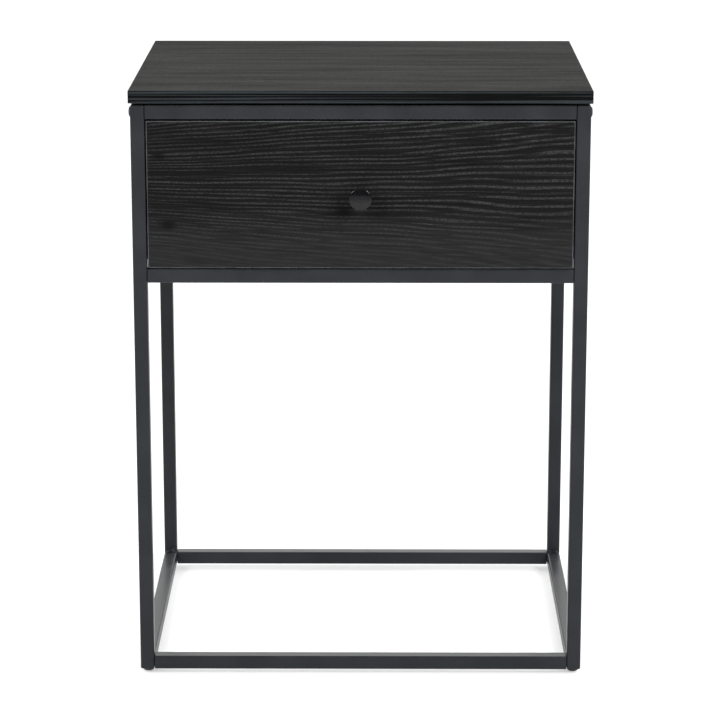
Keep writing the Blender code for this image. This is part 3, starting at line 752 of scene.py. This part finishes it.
def side_loop(side, sizes):
    """The outside of one side frame: square tube round a rectangle, mitred at its corners."""
    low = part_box(f"leg_front_{side}")[0]
    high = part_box(f"leg_rear_{side}")[1]
    middle_x = (low.x + high.x) / 2
    section = rounded_outline(TUBE / 2, TUBE / 2, sizes.tube_corner, 4)
    front, rear, down, up = Vector((-1, 0)), Vector((1, 0)), Vector((0, -1)), Vector((0, 1))
    corners = (
        (Vector((low.y, low.z)), front, down),
        (Vector((high.y, low.z)), down, rear),
        (Vector((high.y, high.z)), rear, up),
        (Vector((low.y, high.z)), up, front),
    )
    rings = []
    for corner, arriving, leaving in corners:
        for step in range(5):
            turn = step / 4 * math.pi / 2
            outwards = arriving * math.cos(turn) + leaving * math.sin(turn)
            ring = []
            for across, inwards in section:
                depth = inwards + TUBE / 2
                pivot = corner - (arriving + leaving) * max(depth, sizes.mitre_corner)
                point = pivot + outwards * max(sizes.mitre_corner - depth, 0.0)
                ring.append(Vector((middle_x + across, point.x, point.y)))
            rings.append(ring)
    bm = bmesh.new()
    bridge(bm, rings, closed=True)
    close_up(bm)
    return bm


def cut_away(bm, cutter):
    """bm with the solid cutter taken out of it."""
    made = []
    for name, shape in (("whole", bm), ("cutter", cutter)):
        close_up(shape)
        mesh = bpy.data.meshes.new(name)
        shape.to_mesh(mesh)
        shape.free()
        holder = bpy.data.objects.new(name, mesh)
        bpy.context.scene.collection.objects.link(holder)
        made.append(holder)
    whole, tool = made
    boolean = whole.modifiers.new("cut", "BOOLEAN")
    boolean.operation = "DIFFERENCE"
    boolean.solver = "EXACT"
    boolean.object = tool
    graph = bpy.context.evaluated_depsgraph_get()
    result = bpy.data.meshes.new_from_object(whole.evaluated_get(graph))
    fresh = bmesh.new()
    fresh.from_mesh(result)
    for holder in made:
        mesh = holder.data
        bpy.data.objects.remove(holder)
        bpy.data.meshes.remove(mesh)
    bpy.data.meshes.remove(result)
    return fresh


def lug(bm, low, high, hole_radius):
    """A small drilled plate: a square ring round its screw hole."""
    middle = (low + high) / 2
    half = (high - low) / 2
    outer, inner = [], []
    for turn in full_turn(40):
        reach = min(1 / max(abs(math.cos(turn)), abs(math.sin(turn))), 1.30)
        outer.append((half.x * reach * math.cos(turn), half.y * reach * math.sin(turn)))
        inner.append((hole_radius * math.cos(turn), hole_radius * math.sin(turn)))
    rings = []
    for outline, z in ((outer, low.z), (outer, high.z), (inner, high.z), (inner, low.z)):
        rings.append([Vector((middle.x + x, middle.y + y, z)) for x, y in outline])
    bridge(bm, rings, closed=True)


def sheet_bar(bm, path, sheet, bend, start_y, end_y):
    """Folded sheet steel drawn out along Y. path is the sheet's middle line in the XZ plane."""
    points = [Vector(point) for point in path]
    line = [(points[0], (points[1] - points[0]).normalized())]
    for before, corner, after in zip(points, points[1:], points[2:]):
        arriving = (corner - before).normalized()
        leaving = (after - corner).normalized()
        for step in range(6):
            turn = step / 5 * math.pi / 2
            heading = arriving * math.cos(turn) + leaving * math.sin(turn)
            place = corner - arriving * bend + leaving * bend
            place += bend * (arriving * math.sin(turn) - leaving * math.cos(turn))
            line.append((place, heading))
    line.append((points[-1], (points[-1] - points[-2]).normalized()))
    outline = []
    for hand, run in ((1, line), (-1, reversed(line))):
        for place, heading in run:
            outline.append(place + hand * sheet / 2 * Vector((-heading.y, heading.x)))
    rings = [[Vector((p.x, y, p.y)) for p in outline] for y in (start_y, end_y)]
    made = bridge(bm, rings)
    cap(bm, made[0])
    cap(bm, made[1])


def slot_cutter(bm, x, middle_y, middle_z, half_length, radius, reach):
    """A cutter for an oval slot through a runner's web."""
    outline = []
    for turn in full_turn(24):
        middle = math.copysign(half_length, math.cos(turn))
        outline.append((middle + radius * math.cos(turn), radius * math.sin(turn)))
    rings = []
    for end in (-1, 1):
        rings.append([Vector((x + end * reach, middle_y + y, middle_z + z)) for y, z in outline])
    made = bridge(bm, rings)
    cap(bm, made[0])
    cap(bm, made[1])


# Screws and bolts, as (radius, height) from the driving socket's rim to the tip. SINK is the hole
# that a flush head lies in.
COUNTERSUNK = [
    (0.0020, 0.0004),
    (0.0028, 0.00028),
    (0.0033, 0.0001),
    (0.0033, 0.0),
    (0.0020, -0.0013),
    (0.0018, -0.0040),
    (0.0010, -0.0055),
]
BUTTON_HEAD = [
    (0.0020, 0.00130),
    (0.0030, 0.00120),
    (0.0040, 0.00092),
    (0.0046, 0.00062),
    (0.0049, 0.00032),
    (0.0050, 0.00015),
    (0.0050, 0.0),
    (0.0025, 0.0),
    (0.0025, -0.0220),
    (0.0016, -0.0230),
]
FLUSH_HEAD = [
    (0.0021, 0.0),
    (0.0048, 0.0),
    (0.0050, -0.0002),
    (0.0025, -0.0027),
    (0.0025, -0.0220),
    (0.0016, -0.0230),
]
SINK = [(0.0056, 0.001), (0.0056, 0.0), (0.0029, -0.0027), (0.0001, -0.0030)]
PAN_HEAD = [
    (0.0023, 0.0022),
    (0.0030, 0.00205),
    (0.0036, 0.0016),
    (0.0040, 0.0010),
    (0.0040, 0.0),
    (0.0020, 0.0),
    (0.0020, -0.0115),
    (0.0008, -0.0132),
]


def pan_screw():
    return socketed(PAN_HEAD, cross, 0.0021, 0.0012)


class TablePiece:
    """What the operators share."""

    bl_options = {"REGISTER", "UNDO"}


class TABLE_OT_board(TablePiece, bpy.types.Operator):
    """Builds the top board with its edge bands and glue line"""

    bl_idname = "side_table.board"
    bl_label = "Top board"

    def execute(self, context):
        sizes = context.scene.table_sizes
        low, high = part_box("top_board")
        bm = panel_shape(low, high, "z", edge=sizes.board_edge, corner=0.0010, seam=sizes.band)
        bm.normal_update()
        for face in bm.faces:
            if face.material_index == 1 and abs(face.normal.x) > 0.6:
                face.material_index = 3
        finishes = finishes_of("ash_top", "band_x", "glue_line", "band_y")
        finish_object("board_with_edge_band", bm, finishes, "table", ["top_board"])
        return {"FINISHED"}


class TABLE_OT_side_frames(TablePiece, bpy.types.Operator):
    """Builds each side frame as one welded piece, with its lugs and weld beads"""

    bl_idname = "side_table.side_frames"
    bl_label = "Side frames"

    def execute(self, context):
        sizes = context.scene.table_sizes
        for side, sign in SIDES.items():
            bm = side_loop(side, sizes)
            sinks = bmesh.new()
            for end in ENDS:
                face_x = side_face(*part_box(f"leg_{end}_{side}"), sign)
                for level in FLUSH_LEVELS:
                    low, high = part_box(f"bolt_{level}_{end}_{side}")
                    cone = turned(SINK, 40)
                    place = (face_x, (low.y + high.y) / 2, (low.z + high.z) / 2)
                    join(sinks, face_along(cone, (sign, 0, 0), place))
            bm = cut_away(bm, sinks)

            low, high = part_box(f"side_drawer_rail_{side}")
            sunk = Vector((0, 0.0008, 0))
            rail = panel_shape(low - sunk, high + sunk, "y", edge=0.0002, corner=sizes.tube_corner, band=0)
            join(bm, rail)
            self.add_drawer_rail_welds(bm, low, high, sign, sizes.weld)
            self.add_corner_welds(bm, side, sizes.weld)
            self.add_lugs(bm, side, sign, sizes.weld)

            nodes = [f"leg_{end}_{side}" for end in ENDS]
            nodes += [f"side_{level}_rail_{side}" for level in LEVELS]
            finishes = finishes_of("powder_coat", "coated_weld")
            finish_object(f"side_frame_{side}", bm, finishes, "table", nodes)
        return {"FINISHED"}

    def add_drawer_rail_welds(self, bm, low, high, sign, radius):
        inner_x = side_face(low, high, -sign)
        inset = 0.0022
        for y in (low.y, high.y):
            for z in (low.z, high.z):
                weld_bead(bm, (low.x + inset, y, z), (high.x - inset, y, z), radius * RAIL_BEAD)
            ends = ((inner_x, y, low.z + inset), (inner_x, y, high.z - inset))
            weld_bead(bm, *ends, radius * SMALL_BEAD)

    def add_corner_welds(self, bm, side, radius):
        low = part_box(f"leg_front_{side}")[0]
        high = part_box(f"leg_rear_{side}")[1]
        for y in (low.y + TUBE, high.y - TUBE):
            for z in (low.z + TUBE, high.z - TUBE):
                weld_bead(bm, (low.x + 0.0018, y, z), (high.x - 0.0018, y, z), radius)
                spatter(bm, ((low.x + high.x) / 2, y, z))

    def add_lugs(self, bm, side, sign, radius):
        frame_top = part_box(f"side_top_rail_{side}")[1].z
        for end in ENDS:
            spacer_low, spacer_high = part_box(f"spacer_{end}_{side}")
            middle = (spacer_low + spacer_high) / 2
            half = (spacer_high.x - spacer_low.x) / 2
            top = frame_top - FIT_GAP
            low = Vector((middle.x - half, middle.y - half, top - LUG_SHEET))
            high = Vector((middle.x + half, middle.y + half, top))
            lug(bm, low, high, LUG_HOLE)
            weld_x = side_face(low, high, sign)
            run = half * 0.86
            ends = ((weld_x, middle.y - run, low.z), (weld_x, middle.y + run, low.z))
            weld_bead(bm, *ends, radius * SMALL_BEAD)


class TABLE_OT_cross_rails(TablePiece, bpy.types.Operator):
    """Builds the six rails that join the side frames"""

    bl_idname = "side_table.cross_rails"
    bl_label = "Cross rails"

    def execute(self, context):
        sizes = context.scene.table_sizes
        for end in ENDS:
            for level in LEVELS:
                node = f"{end}_{level}_rail"
                low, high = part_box(node)
                bm = panel_shape(low, high, "x", edge=sizes.rail_end, corner=sizes.tube_corner, band=0)
                name = f"cross_rail_{end}_{level}"
                finish_object(name, bm, finishes_of("powder_coat"), "table", [node])
        return {"FINISHED"}


class TABLE_OT_bolts(TablePiece, bpy.types.Operator):
    """Builds the frame bolts: button heads at the top, flush heads lower down"""

    bl_idname = "side_table.bolts"
    bl_label = "Frame bolts"

    def execute(self, context):
        for level in LEVELS:
            profile = FLUSH_HEAD if level in FLUSH_LEVELS else BUTTON_HEAD
            for end in ENDS:
                for side, sign in SIDES.items():
                    node = f"bolt_{level}_{end}_{side}"
                    low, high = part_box(node)
                    face_x = side_face(low, high, sign)
                    bm = socketed(profile, hexagon, 0.0016, 0.0010)
                    place = (face_x - sign * profile[0][1], (low.y + high.y) / 2, (low.z + high.z) / 2)
                    face_along(bm, (sign, 0, 0), place)
                    name = f"frame_bolt_{level}_{end}_{side}"
                    finish_object(name, bm, finishes_of("black_oxide"), "table", [node])
        return {"FINISHED"}


class TABLE_OT_feet(TablePiece, bpy.types.Operator):
    """Builds the moulded feet under the side frames"""

    bl_idname = "side_table.feet"
    bl_label = "Feet"

    def execute(self, context):
        profile = [
            (0.0046, 0.0),
            (0.0050, 0.0001),
            (0.0053, 0.0004),
            (0.0055, 0.0010),
            (0.0055, 0.0025),
            (0.0053, 0.0028),
            (0.0055, 0.0031),
            (0.0055, 0.0041),
            (0.0053, 0.0045),
            (0.0050, 0.0047),
            (0.0030, 0.0047),
            (0.0030, 0.0097),
            (0.0025, 0.0102),
        ]
        finishes = finishes_of("black_plastic")
        for end in ENDS:
            for side in SIDES:
                node = f"foot_{end}_{side}"
                low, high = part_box(node)
                place = ((low.x + high.x) / 2, (low.y + high.y) / 2, low.z)
                bm = face_along(turned(profile), (0, 0, 1), place)
                finish_object(f"moulded_{node}", bm, finishes, "table", [node])
        return {"FINISHED"}


class TABLE_OT_board_fixings(TablePiece, bpy.types.Operator):
    """Builds the screws that hold the board, and the spacers that they pass through"""

    bl_idname = "side_table.board_fixings"
    bl_label = "Board screws and spacers"

    def execute(self, context):
        plastic = finishes_of("black_plastic")
        for end in ENDS:
            for side in SIDES:
                node = f"board_screw_{end}_{side}"
                low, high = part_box(node)
                place = ((low.x + high.x) / 2, (low.y + high.y) / 2, low.z + PAN_HEAD[0][1])
                bm = face_along(pan_screw(), (0, 0, -1), place)
                finish_object(f"pan_{node}", bm, finishes_of("zinc_plate"), "table", [node])

                node = f"spacer_{end}_{side}"
                low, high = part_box(node)
                outer = (high.x - low.x) / 2
                tall = high.z - low.z
                profile = [
                    (0.0023, 0.0001),
                    (0.0025, 0.0),
                    (outer - 0.0003, 0.0),
                    (outer, 0.0003),
                    (outer, tall - 0.0003),
                    (outer - 0.0003, tall),
                    (0.0025, tall),
                    (0.0023, tall - 0.0001),
                ]
                bm = turned(profile, closed=True)
                face_along(bm, (0, 0, 1), ((low.x + high.x) / 2, (low.y + high.y) / 2, low.z))
                finish_object(f"board_{node}", bm, plastic, "table", [node])
        return {"FINISHED"}


class TABLE_OT_case(TablePiece, bpy.types.Operator):
    """Builds the side and back panels around the drawer"""

    bl_idname = "side_table.case"
    bl_label = "Case panels"

    def execute(self, context):
        edge = context.scene.table_sizes.board_edge
        for side in SIDES:
            node = f"side_panel_{side}"
            bm = panel_shape(*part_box(node), "x", edge=edge)
            finish_object(f"ash_{node}", bm, finishes_of("ash_side", "band_y"), "table", [node])
        bm = panel_shape(*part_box("back_panel"), "y", edge=edge)
        finishes = finishes_of("ash_cross", "band_x")
        finish_object("ash_back_panel", bm, finishes, "table", ["back_panel"])
        return {"FINISHED"}


class TABLE_OT_drawer_front(TablePiece, bpy.types.Operator):
    """Builds the drawer front with its edge band"""

    bl_idname = "side_table.drawer_front"
    bl_label = "Drawer front"

    def execute(self, context):
        edge = context.scene.table_sizes.front_edge
        bm = panel_shape(*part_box("drawer_front"), "y", edge=edge)
        bm.normal_update()
        # The rounded edges take the painted highlight finish.
        for face in bm.faces:
            if max(abs(part) for part in face.normal) < ON_THE_SQUARE:
                face.material_index = 2
        finishes = finishes_of("ash_front", "band_x", "edge_line")
        finish_object("ash_drawer_front", bm, finishes, "drawer", ["drawer_front"])
        return {"FINISHED"}


class TABLE_OT_knob(TablePiece, bpy.types.Operator):
    """Turns the knob, with its domed face and waisted neck, and its screw"""

    bl_idname = "side_table.knob"
    bl_label = "Knob"

    def execute(self, context):
        profile = [
            (0.0062, 0.0),
            (0.0065, 0.0002),
            (0.0065, 0.0013),
            (0.0062, 0.0019),
            (0.0054, 0.0031),
            (0.0049, 0.0045),
            (0.0048, 0.0060),
            (0.0048, 0.0102),
            (0.0051, 0.0118),
            (0.0062, 0.0131),
            (0.0080, 0.0139),
            (0.0096, 0.0146),
            (0.0105, 0.0156),
            (0.0110, 0.0172),
            (0.0110, 0.0207),
            (0.0109, 0.0211),
            (0.01075, 0.02132),
            (0.0104, 0.0215),
        ]
        # The face is a shallow dome: at the radius called reach, it lies sag behind its crown.
        crown, sag, reach = 0.0227, 0.0011, 0.0100
        for radius in (reach, 0.0092, 0.0080, 0.0066, 0.0050, 0.0034, 0.0018):
            profile.append((radius, crown - sag * (radius / reach) ** 2))
        profile.append((0.0004, crown))
        low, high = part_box("knob")
        middle_x = (low.x + high.x) / 2
        middle_z = (low.z + high.z) / 2
        seat_y = low.y + crown
        bm = face_along(turned(profile, 96), (0, -1, 0), (middle_x, seat_y, middle_z))
        enamel = finishes_of("gloss_enamel")
        finish_object("turned_knob", bm, enamel, "drawer", ["knob"], weighted=False)

        low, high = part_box("knob_screw")
        place = ((low.x + high.x) / 2, high.y - PAN_HEAD[0][1], (low.z + high.z) / 2)
        bm = face_along(pan_screw(), (0, 1, 0), place)
        finish_object("pan_knob_screw", bm, finishes_of("zinc_plate"), "drawer", ["knob_screw"])
        return {"FINISHED"}


class TABLE_OT_drawer_box(TablePiece, bpy.types.Operator):
    """Builds the drawer's sides, back and floor, with the covers over their fittings"""

    bl_idname = "side_table.drawer_box"
    bl_label = "Drawer box"

    def execute(self, context):
        edge = context.scene.table_sizes.box_edge
        finishes = finishes_of("box_foil", "box_foil", "black_plastic")
        # Covers over the fittings that hold the front, and plugs over the screws that hold the back.
        cover = [(0.0030, 0.0004), (0.0071, 0.0004), (0.0075, 0.0001), (0.0075, -0.0010)]
        plug = [(0.0012, 0.0002), (0.0034, 0.0002), (0.0036, 0.0), (0.0036, -0.0010)]
        for side, sign in SIDES.items():
            node = f"drawer_side_{side}"
            low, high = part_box(node)
            bm = panel_shape(low, high, "x", edge=edge)
            inner_x = side_face(low, high, -sign)
            outer_x = side_face(low, high, sign)
            rise = (high.z - low.z) / 4
            for z in (low.z + rise * 1.2, high.z - rise):
                for shape, direction, x, y in (
                    (cover, -sign, inner_x, low.y + 0.024),
                    (plug, sign, outer_x, high.y - 0.006),
                ):
                    fitting = socketed(shape, cross, shape[0][0] * 0.9, 0.0008)
                    for face in fitting.faces:
                        face.material_index = 2
                    join(bm, face_along(fitting, (direction, 0, 0), (x, y, z)))
            finish_object(f"wrapped_{node}", bm, finishes, "drawer", [node])
        bm = panel_shape(*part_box("drawer_back"), "y", edge=edge)
        finish_object("wrapped_drawer_back", bm, finishes, "drawer", ["drawer_back"])
        bm = panel_shape(*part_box("drawer_bottom"), "z", edge=0.0003)
        floor_finish = finishes_of("hardboard", "hardboard")
        finish_object("hardboard_floor", bm, floor_finish, "drawer", ["drawer_bottom"])
        return {"FINISHED"}


class TABLE_OT_runners(TablePiece, bpy.types.Operator):
    """Folds the runners, with their slots, screws and roller pins"""

    bl_idname = "side_table.runners"
    bl_label = "Runners"

    def execute(self, context):
        sizes = context.scene.table_sizes
        sheet = sizes.sheet
        for side, sign in SIDES.items():
            low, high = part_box(f"cabinet_runner_{side}")
            web = side_face(low, high, sign) - sign * sheet / 2
            tip = web - sign * (FLANGE + sheet / 2)
            top = high.z - sheet / 2
            bottom = low.z + sheet / 2
            path = [(tip, top), (web, top), (web, bottom), (tip, bottom)]
            self.add_runner("cabinet", side, path, web, -sign, "table", sizes)

            low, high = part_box(f"drawer_runner_{side}")
            web = side_face(low, high, -sign) + sign * sheet / 2
            tip = web + sign * (FLANGE + sheet / 2)
            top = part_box(f"drawer_roller_{side}")[1].z + 0.00015 + sheet / 2
            path = [(web, low.z), (web, top), (tip, top)]
            self.add_runner("drawer", side, path, web, sign, "drawer", sizes)
        return {"FINISHED"}

    def add_runner(self, kind, side, path, web, inwards, body, sizes):
        """inwards is the sign of X from the web towards its roller."""
        node = f"{kind}_runner_{side}"
        low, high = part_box(node)
        roller_low, roller_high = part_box(f"{kind}_roller_{side}")
        roller_y = (roller_low.y + roller_high.y) / 2
        roller_z = (roller_low.z + roller_high.z) / 2
        bm = bmesh.new()
        sheet_bar(bm, path, sizes.sheet, sizes.bend, low.y, high.y)
        slots = bmesh.new()
        middle_y = (low.y + high.y) / 2
        for share in SLOT_PLACES:
            slot_y = middle_y + share * (high.y - low.y)
            slot_cutter(slots, web, slot_y, roller_z, SLOT_HALF_LENGTH, SLOT_RADIUS, 0.003)
        bm = cut_away(bm, slots)
        face_x = web + inwards * sizes.sheet / 2
        for from_middle in SCREW_PLACES:
            screw = socketed(COUNTERSUNK, cross, 0.0018, 0.0008, steps=32)
            join(bm, face_along(screw, (inwards, 0, 0), (face_x, middle_y + from_middle, roller_z)))
        reach = roller_high.x - roller_low.x + 0.0006 + sizes.sheet
        pin = turned(
            [
                (0.0025, 0.0),
                (0.0025, reach),
                (0.0038, reach),
                (0.0040, reach + 0.0002),
                (0.0040, reach + 0.0006),
                (0.0034, reach + 0.0010),
                (0.0022, reach + 0.0012),
            ],
            36,
        )
        join(bm, face_along(pin, (inwards, 0, 0), (web + inwards * 0.0001, roller_y, roller_z)))
        finish_object(f"folded_{node}", bm, finishes_of("zinc_plate"), body, [node])


class TABLE_OT_rollers(TablePiece, bpy.types.Operator):
    """Builds the nylon rollers, with a recess round each hub"""

    bl_idname = "side_table.rollers"
    bl_label = "Rollers"

    def execute(self, context):
        half_profile = [
            (0.0029, 0.0030),
            (0.0044, 0.0030),
            (0.0047, 0.0026),
            (0.0067, 0.0026),
            (0.0070, 0.0030),
            (0.0083, 0.0030),
            (0.0088, 0.0027),
            (0.0090, 0.0022),
            (0.0090, 0.0003),
            (0.0089, 0.0001),
        ]
        profile = half_profile + [(radius, -height) for radius, height in reversed(half_profile)]
        for kind in ("cabinet", "drawer"):
            for side in SIDES:
                node = f"{kind}_roller_{side}"
                low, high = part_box(node)
                bm = face_along(turned(profile, 64, closed=True), (1, 0, 0), (low + high) / 2)
                body = f"{side}_{kind}_roller"
                finish_object(f"nylon_{node}", bm, finishes_of("white_nylon"), body, [node])
        return {"FINISHED"}


class TABLE_OT_stage(TablePiece, bpy.types.Operator):
    """Lays the floor, and sets the soft lights and the camera"""

    bl_idname = "side_table.stage"
    bl_label = "Stage"

    def execute(self, context):
        stage = context.scene.table_stage
        self.add_floor(stage)
        self.add_light("overhead_light", (0.0, 0.6, 3.2), 0.3, (3.0, 2.4), stage.overhead)
        self.add_light("left_light", (-1.15, -1.55, 1.35), 0.55, (0.5, 0.7), stage.side_lights)
        right_power = stage.side_lights * stage.right_share
        self.add_light("right_light", (1.15, -1.45, 1.35), 0.55, (0.5, 0.7), right_power)
        self.add_camera(context.scene, stage)
        context.scene.world = self.make_studio(stage)
        context.scene.view_settings.view_transform = "Standard"
        context.scene.view_settings.look = "None"
        return {"FINISHED"}

    def make_studio(self, stage):
        """White surroundings: bright above and behind, dim in front. The camera sees plain white."""
        world = bpy.data.worlds.new("studio")
        world.use_nodes = True
        tree = world.node_tree
        background = tree.nodes["Background"]
        direction = tree.nodes.new("ShaderNodeSeparateXYZ")
        tree.links.new(tree.nodes.new("ShaderNodeTexCoord").outputs["Generated"], direction.inputs[0])
        spread = []
        for axis, low, high, dim, bright in (
            ("Y", -0.55, 0.60, stage.front, stage.rear),
            ("Z", 0.19, 0.31, stage.horizon, 1.0),
        ):
            ramp = tree.nodes.new("ShaderNodeMapRange")
            ramp.interpolation_type = "SMOOTHSTEP"
            tree.links.new(direction.outputs[axis], ramp.inputs["Value"])
            for socket, value in zip(MAP_RANGE_SOCKETS, (low, high, dim, bright)):
                ramp.inputs[socket].default_value = value
            spread.append(ramp.outputs["Result"])
        product = tree.nodes.new("ShaderNodeMath")
        product.operation = "MULTIPLY"
        for socket, given in zip(product.inputs, spread):
            tree.links.new(given, socket)
        seen = tree.nodes.new("ShaderNodeMath")
        seen.operation = "MAXIMUM"
        tree.links.new(product.outputs[0], seen.inputs[0])
        tree.links.new(tree.nodes.new("ShaderNodeLightPath").outputs["Is Camera Ray"], seen.inputs[1])
        tree.links.new(seen.outputs[0], background.inputs["Strength"])
        background.inputs["Color"].default_value = (1.0, 1.0, 1.0, 1.0)
        return world

    def add_floor(self, stage):
        bm = bmesh.new()
        bmesh.ops.create_circle(bm, cap_ends=True, segments=96, radius=stage.floor_radius)
        mesh = bpy.data.meshes.new("floor")
        bm.to_mesh(mesh)
        bm.free()
        mesh.materials.append(plain_floor("pale_floor", tuple(stage.floor), stage.floor_glow).material)
        floor = bpy.data.objects.new("floor", mesh)
        floor.location.z = -0.0002
        bpy.context.scene.collection.objects.link(floor)

    def add_light(self, name, place, aim_height, size, power):
        """An area light that is aimed at a height above the table's middle."""
        data = bpy.data.lights.new(name, "AREA")
        data.shape = "RECTANGLE"
        data.size, data.size_y = size
        data.energy = power
        light = bpy.data.objects.new(name, data)
        light.location = place
        heading = Vector((0.0, 0.0, aim_height)) - Vector(place)
        light.rotation_euler = heading.to_track_quat("-Z", "Y").to_euler()
        light.visible_camera = False
        bpy.context.scene.collection.objects.link(light)

    def add_camera(self, scene, stage):
        data = bpy.data.cameras.new("camera")
        data.lens = stage.lens
        data.sensor_width = 36.0
        data.shift_y = stage.rise
        data.dof.use_dof = False
        camera = bpy.data.objects.new("camera", data)
        camera.location = stage.camera_place
        camera.rotation_euler = (math.pi / 2 - stage.camera_pitch, 0.0, stage.camera_yaw)
        scene.collection.objects.link(camera)
        scene.camera = camera


OPERATORS = (
    TABLE_OT_board,
    TABLE_OT_side_frames,
    TABLE_OT_cross_rails,
    TABLE_OT_bolts,
    TABLE_OT_feet,
    TABLE_OT_board_fixings,
    TABLE_OT_case,
    TABLE_OT_drawer_front,
    TABLE_OT_knob,
    TABLE_OT_drawer_box,
    TABLE_OT_runners,
    TABLE_OT_rollers,
    TABLE_OT_stage,
)


class TABLE_PT_pieces(bpy.types.Panel):
    """Lists the pieces and the settings"""

    bl_label = "Side table with drawer"
    bl_idname = "TABLE_PT_pieces"
    bl_space_type = "VIEW_3D"
    bl_region_type = "UI"
    bl_category = "Side table"

    def draw(self, context):
        layout = self.layout
        scene = context.scene
        for operator in OPERATORS:
            layout.operator(operator.bl_idname)
        for settings in (scene.table_sizes, scene.table_finishes, scene.table_stage):
            box = layout.box()
            for name in settings.__annotations__:
                box.prop(settings, name)


CLASSES = (TableSizes, TableFinishes, StageSettings, *OPERATORS, TABLE_PT_pieces)


def register():
    for kind in CLASSES:
        bpy.utils.register_class(kind)
    bpy.types.Scene.table_sizes = bpy.props.PointerProperty(type=TableSizes)
    bpy.types.Scene.table_finishes = bpy.props.PointerProperty(type=TableFinishes)
    bpy.types.Scene.table_stage = bpy.props.PointerProperty(type=StageSettings)


def unregister():
    del bpy.types.Scene.table_stage
    del bpy.types.Scene.table_finishes
    del bpy.types.Scene.table_sizes
    for kind in reversed(CLASSES):
        bpy.utils.unregister_class(kind)


def main():
    register()
    for operator in OPERATORS:
        group, name = operator.bl_idname.split(".")
        getattr(getattr(bpy.ops, group), name)()


if __name__ == "__main__":
    main()
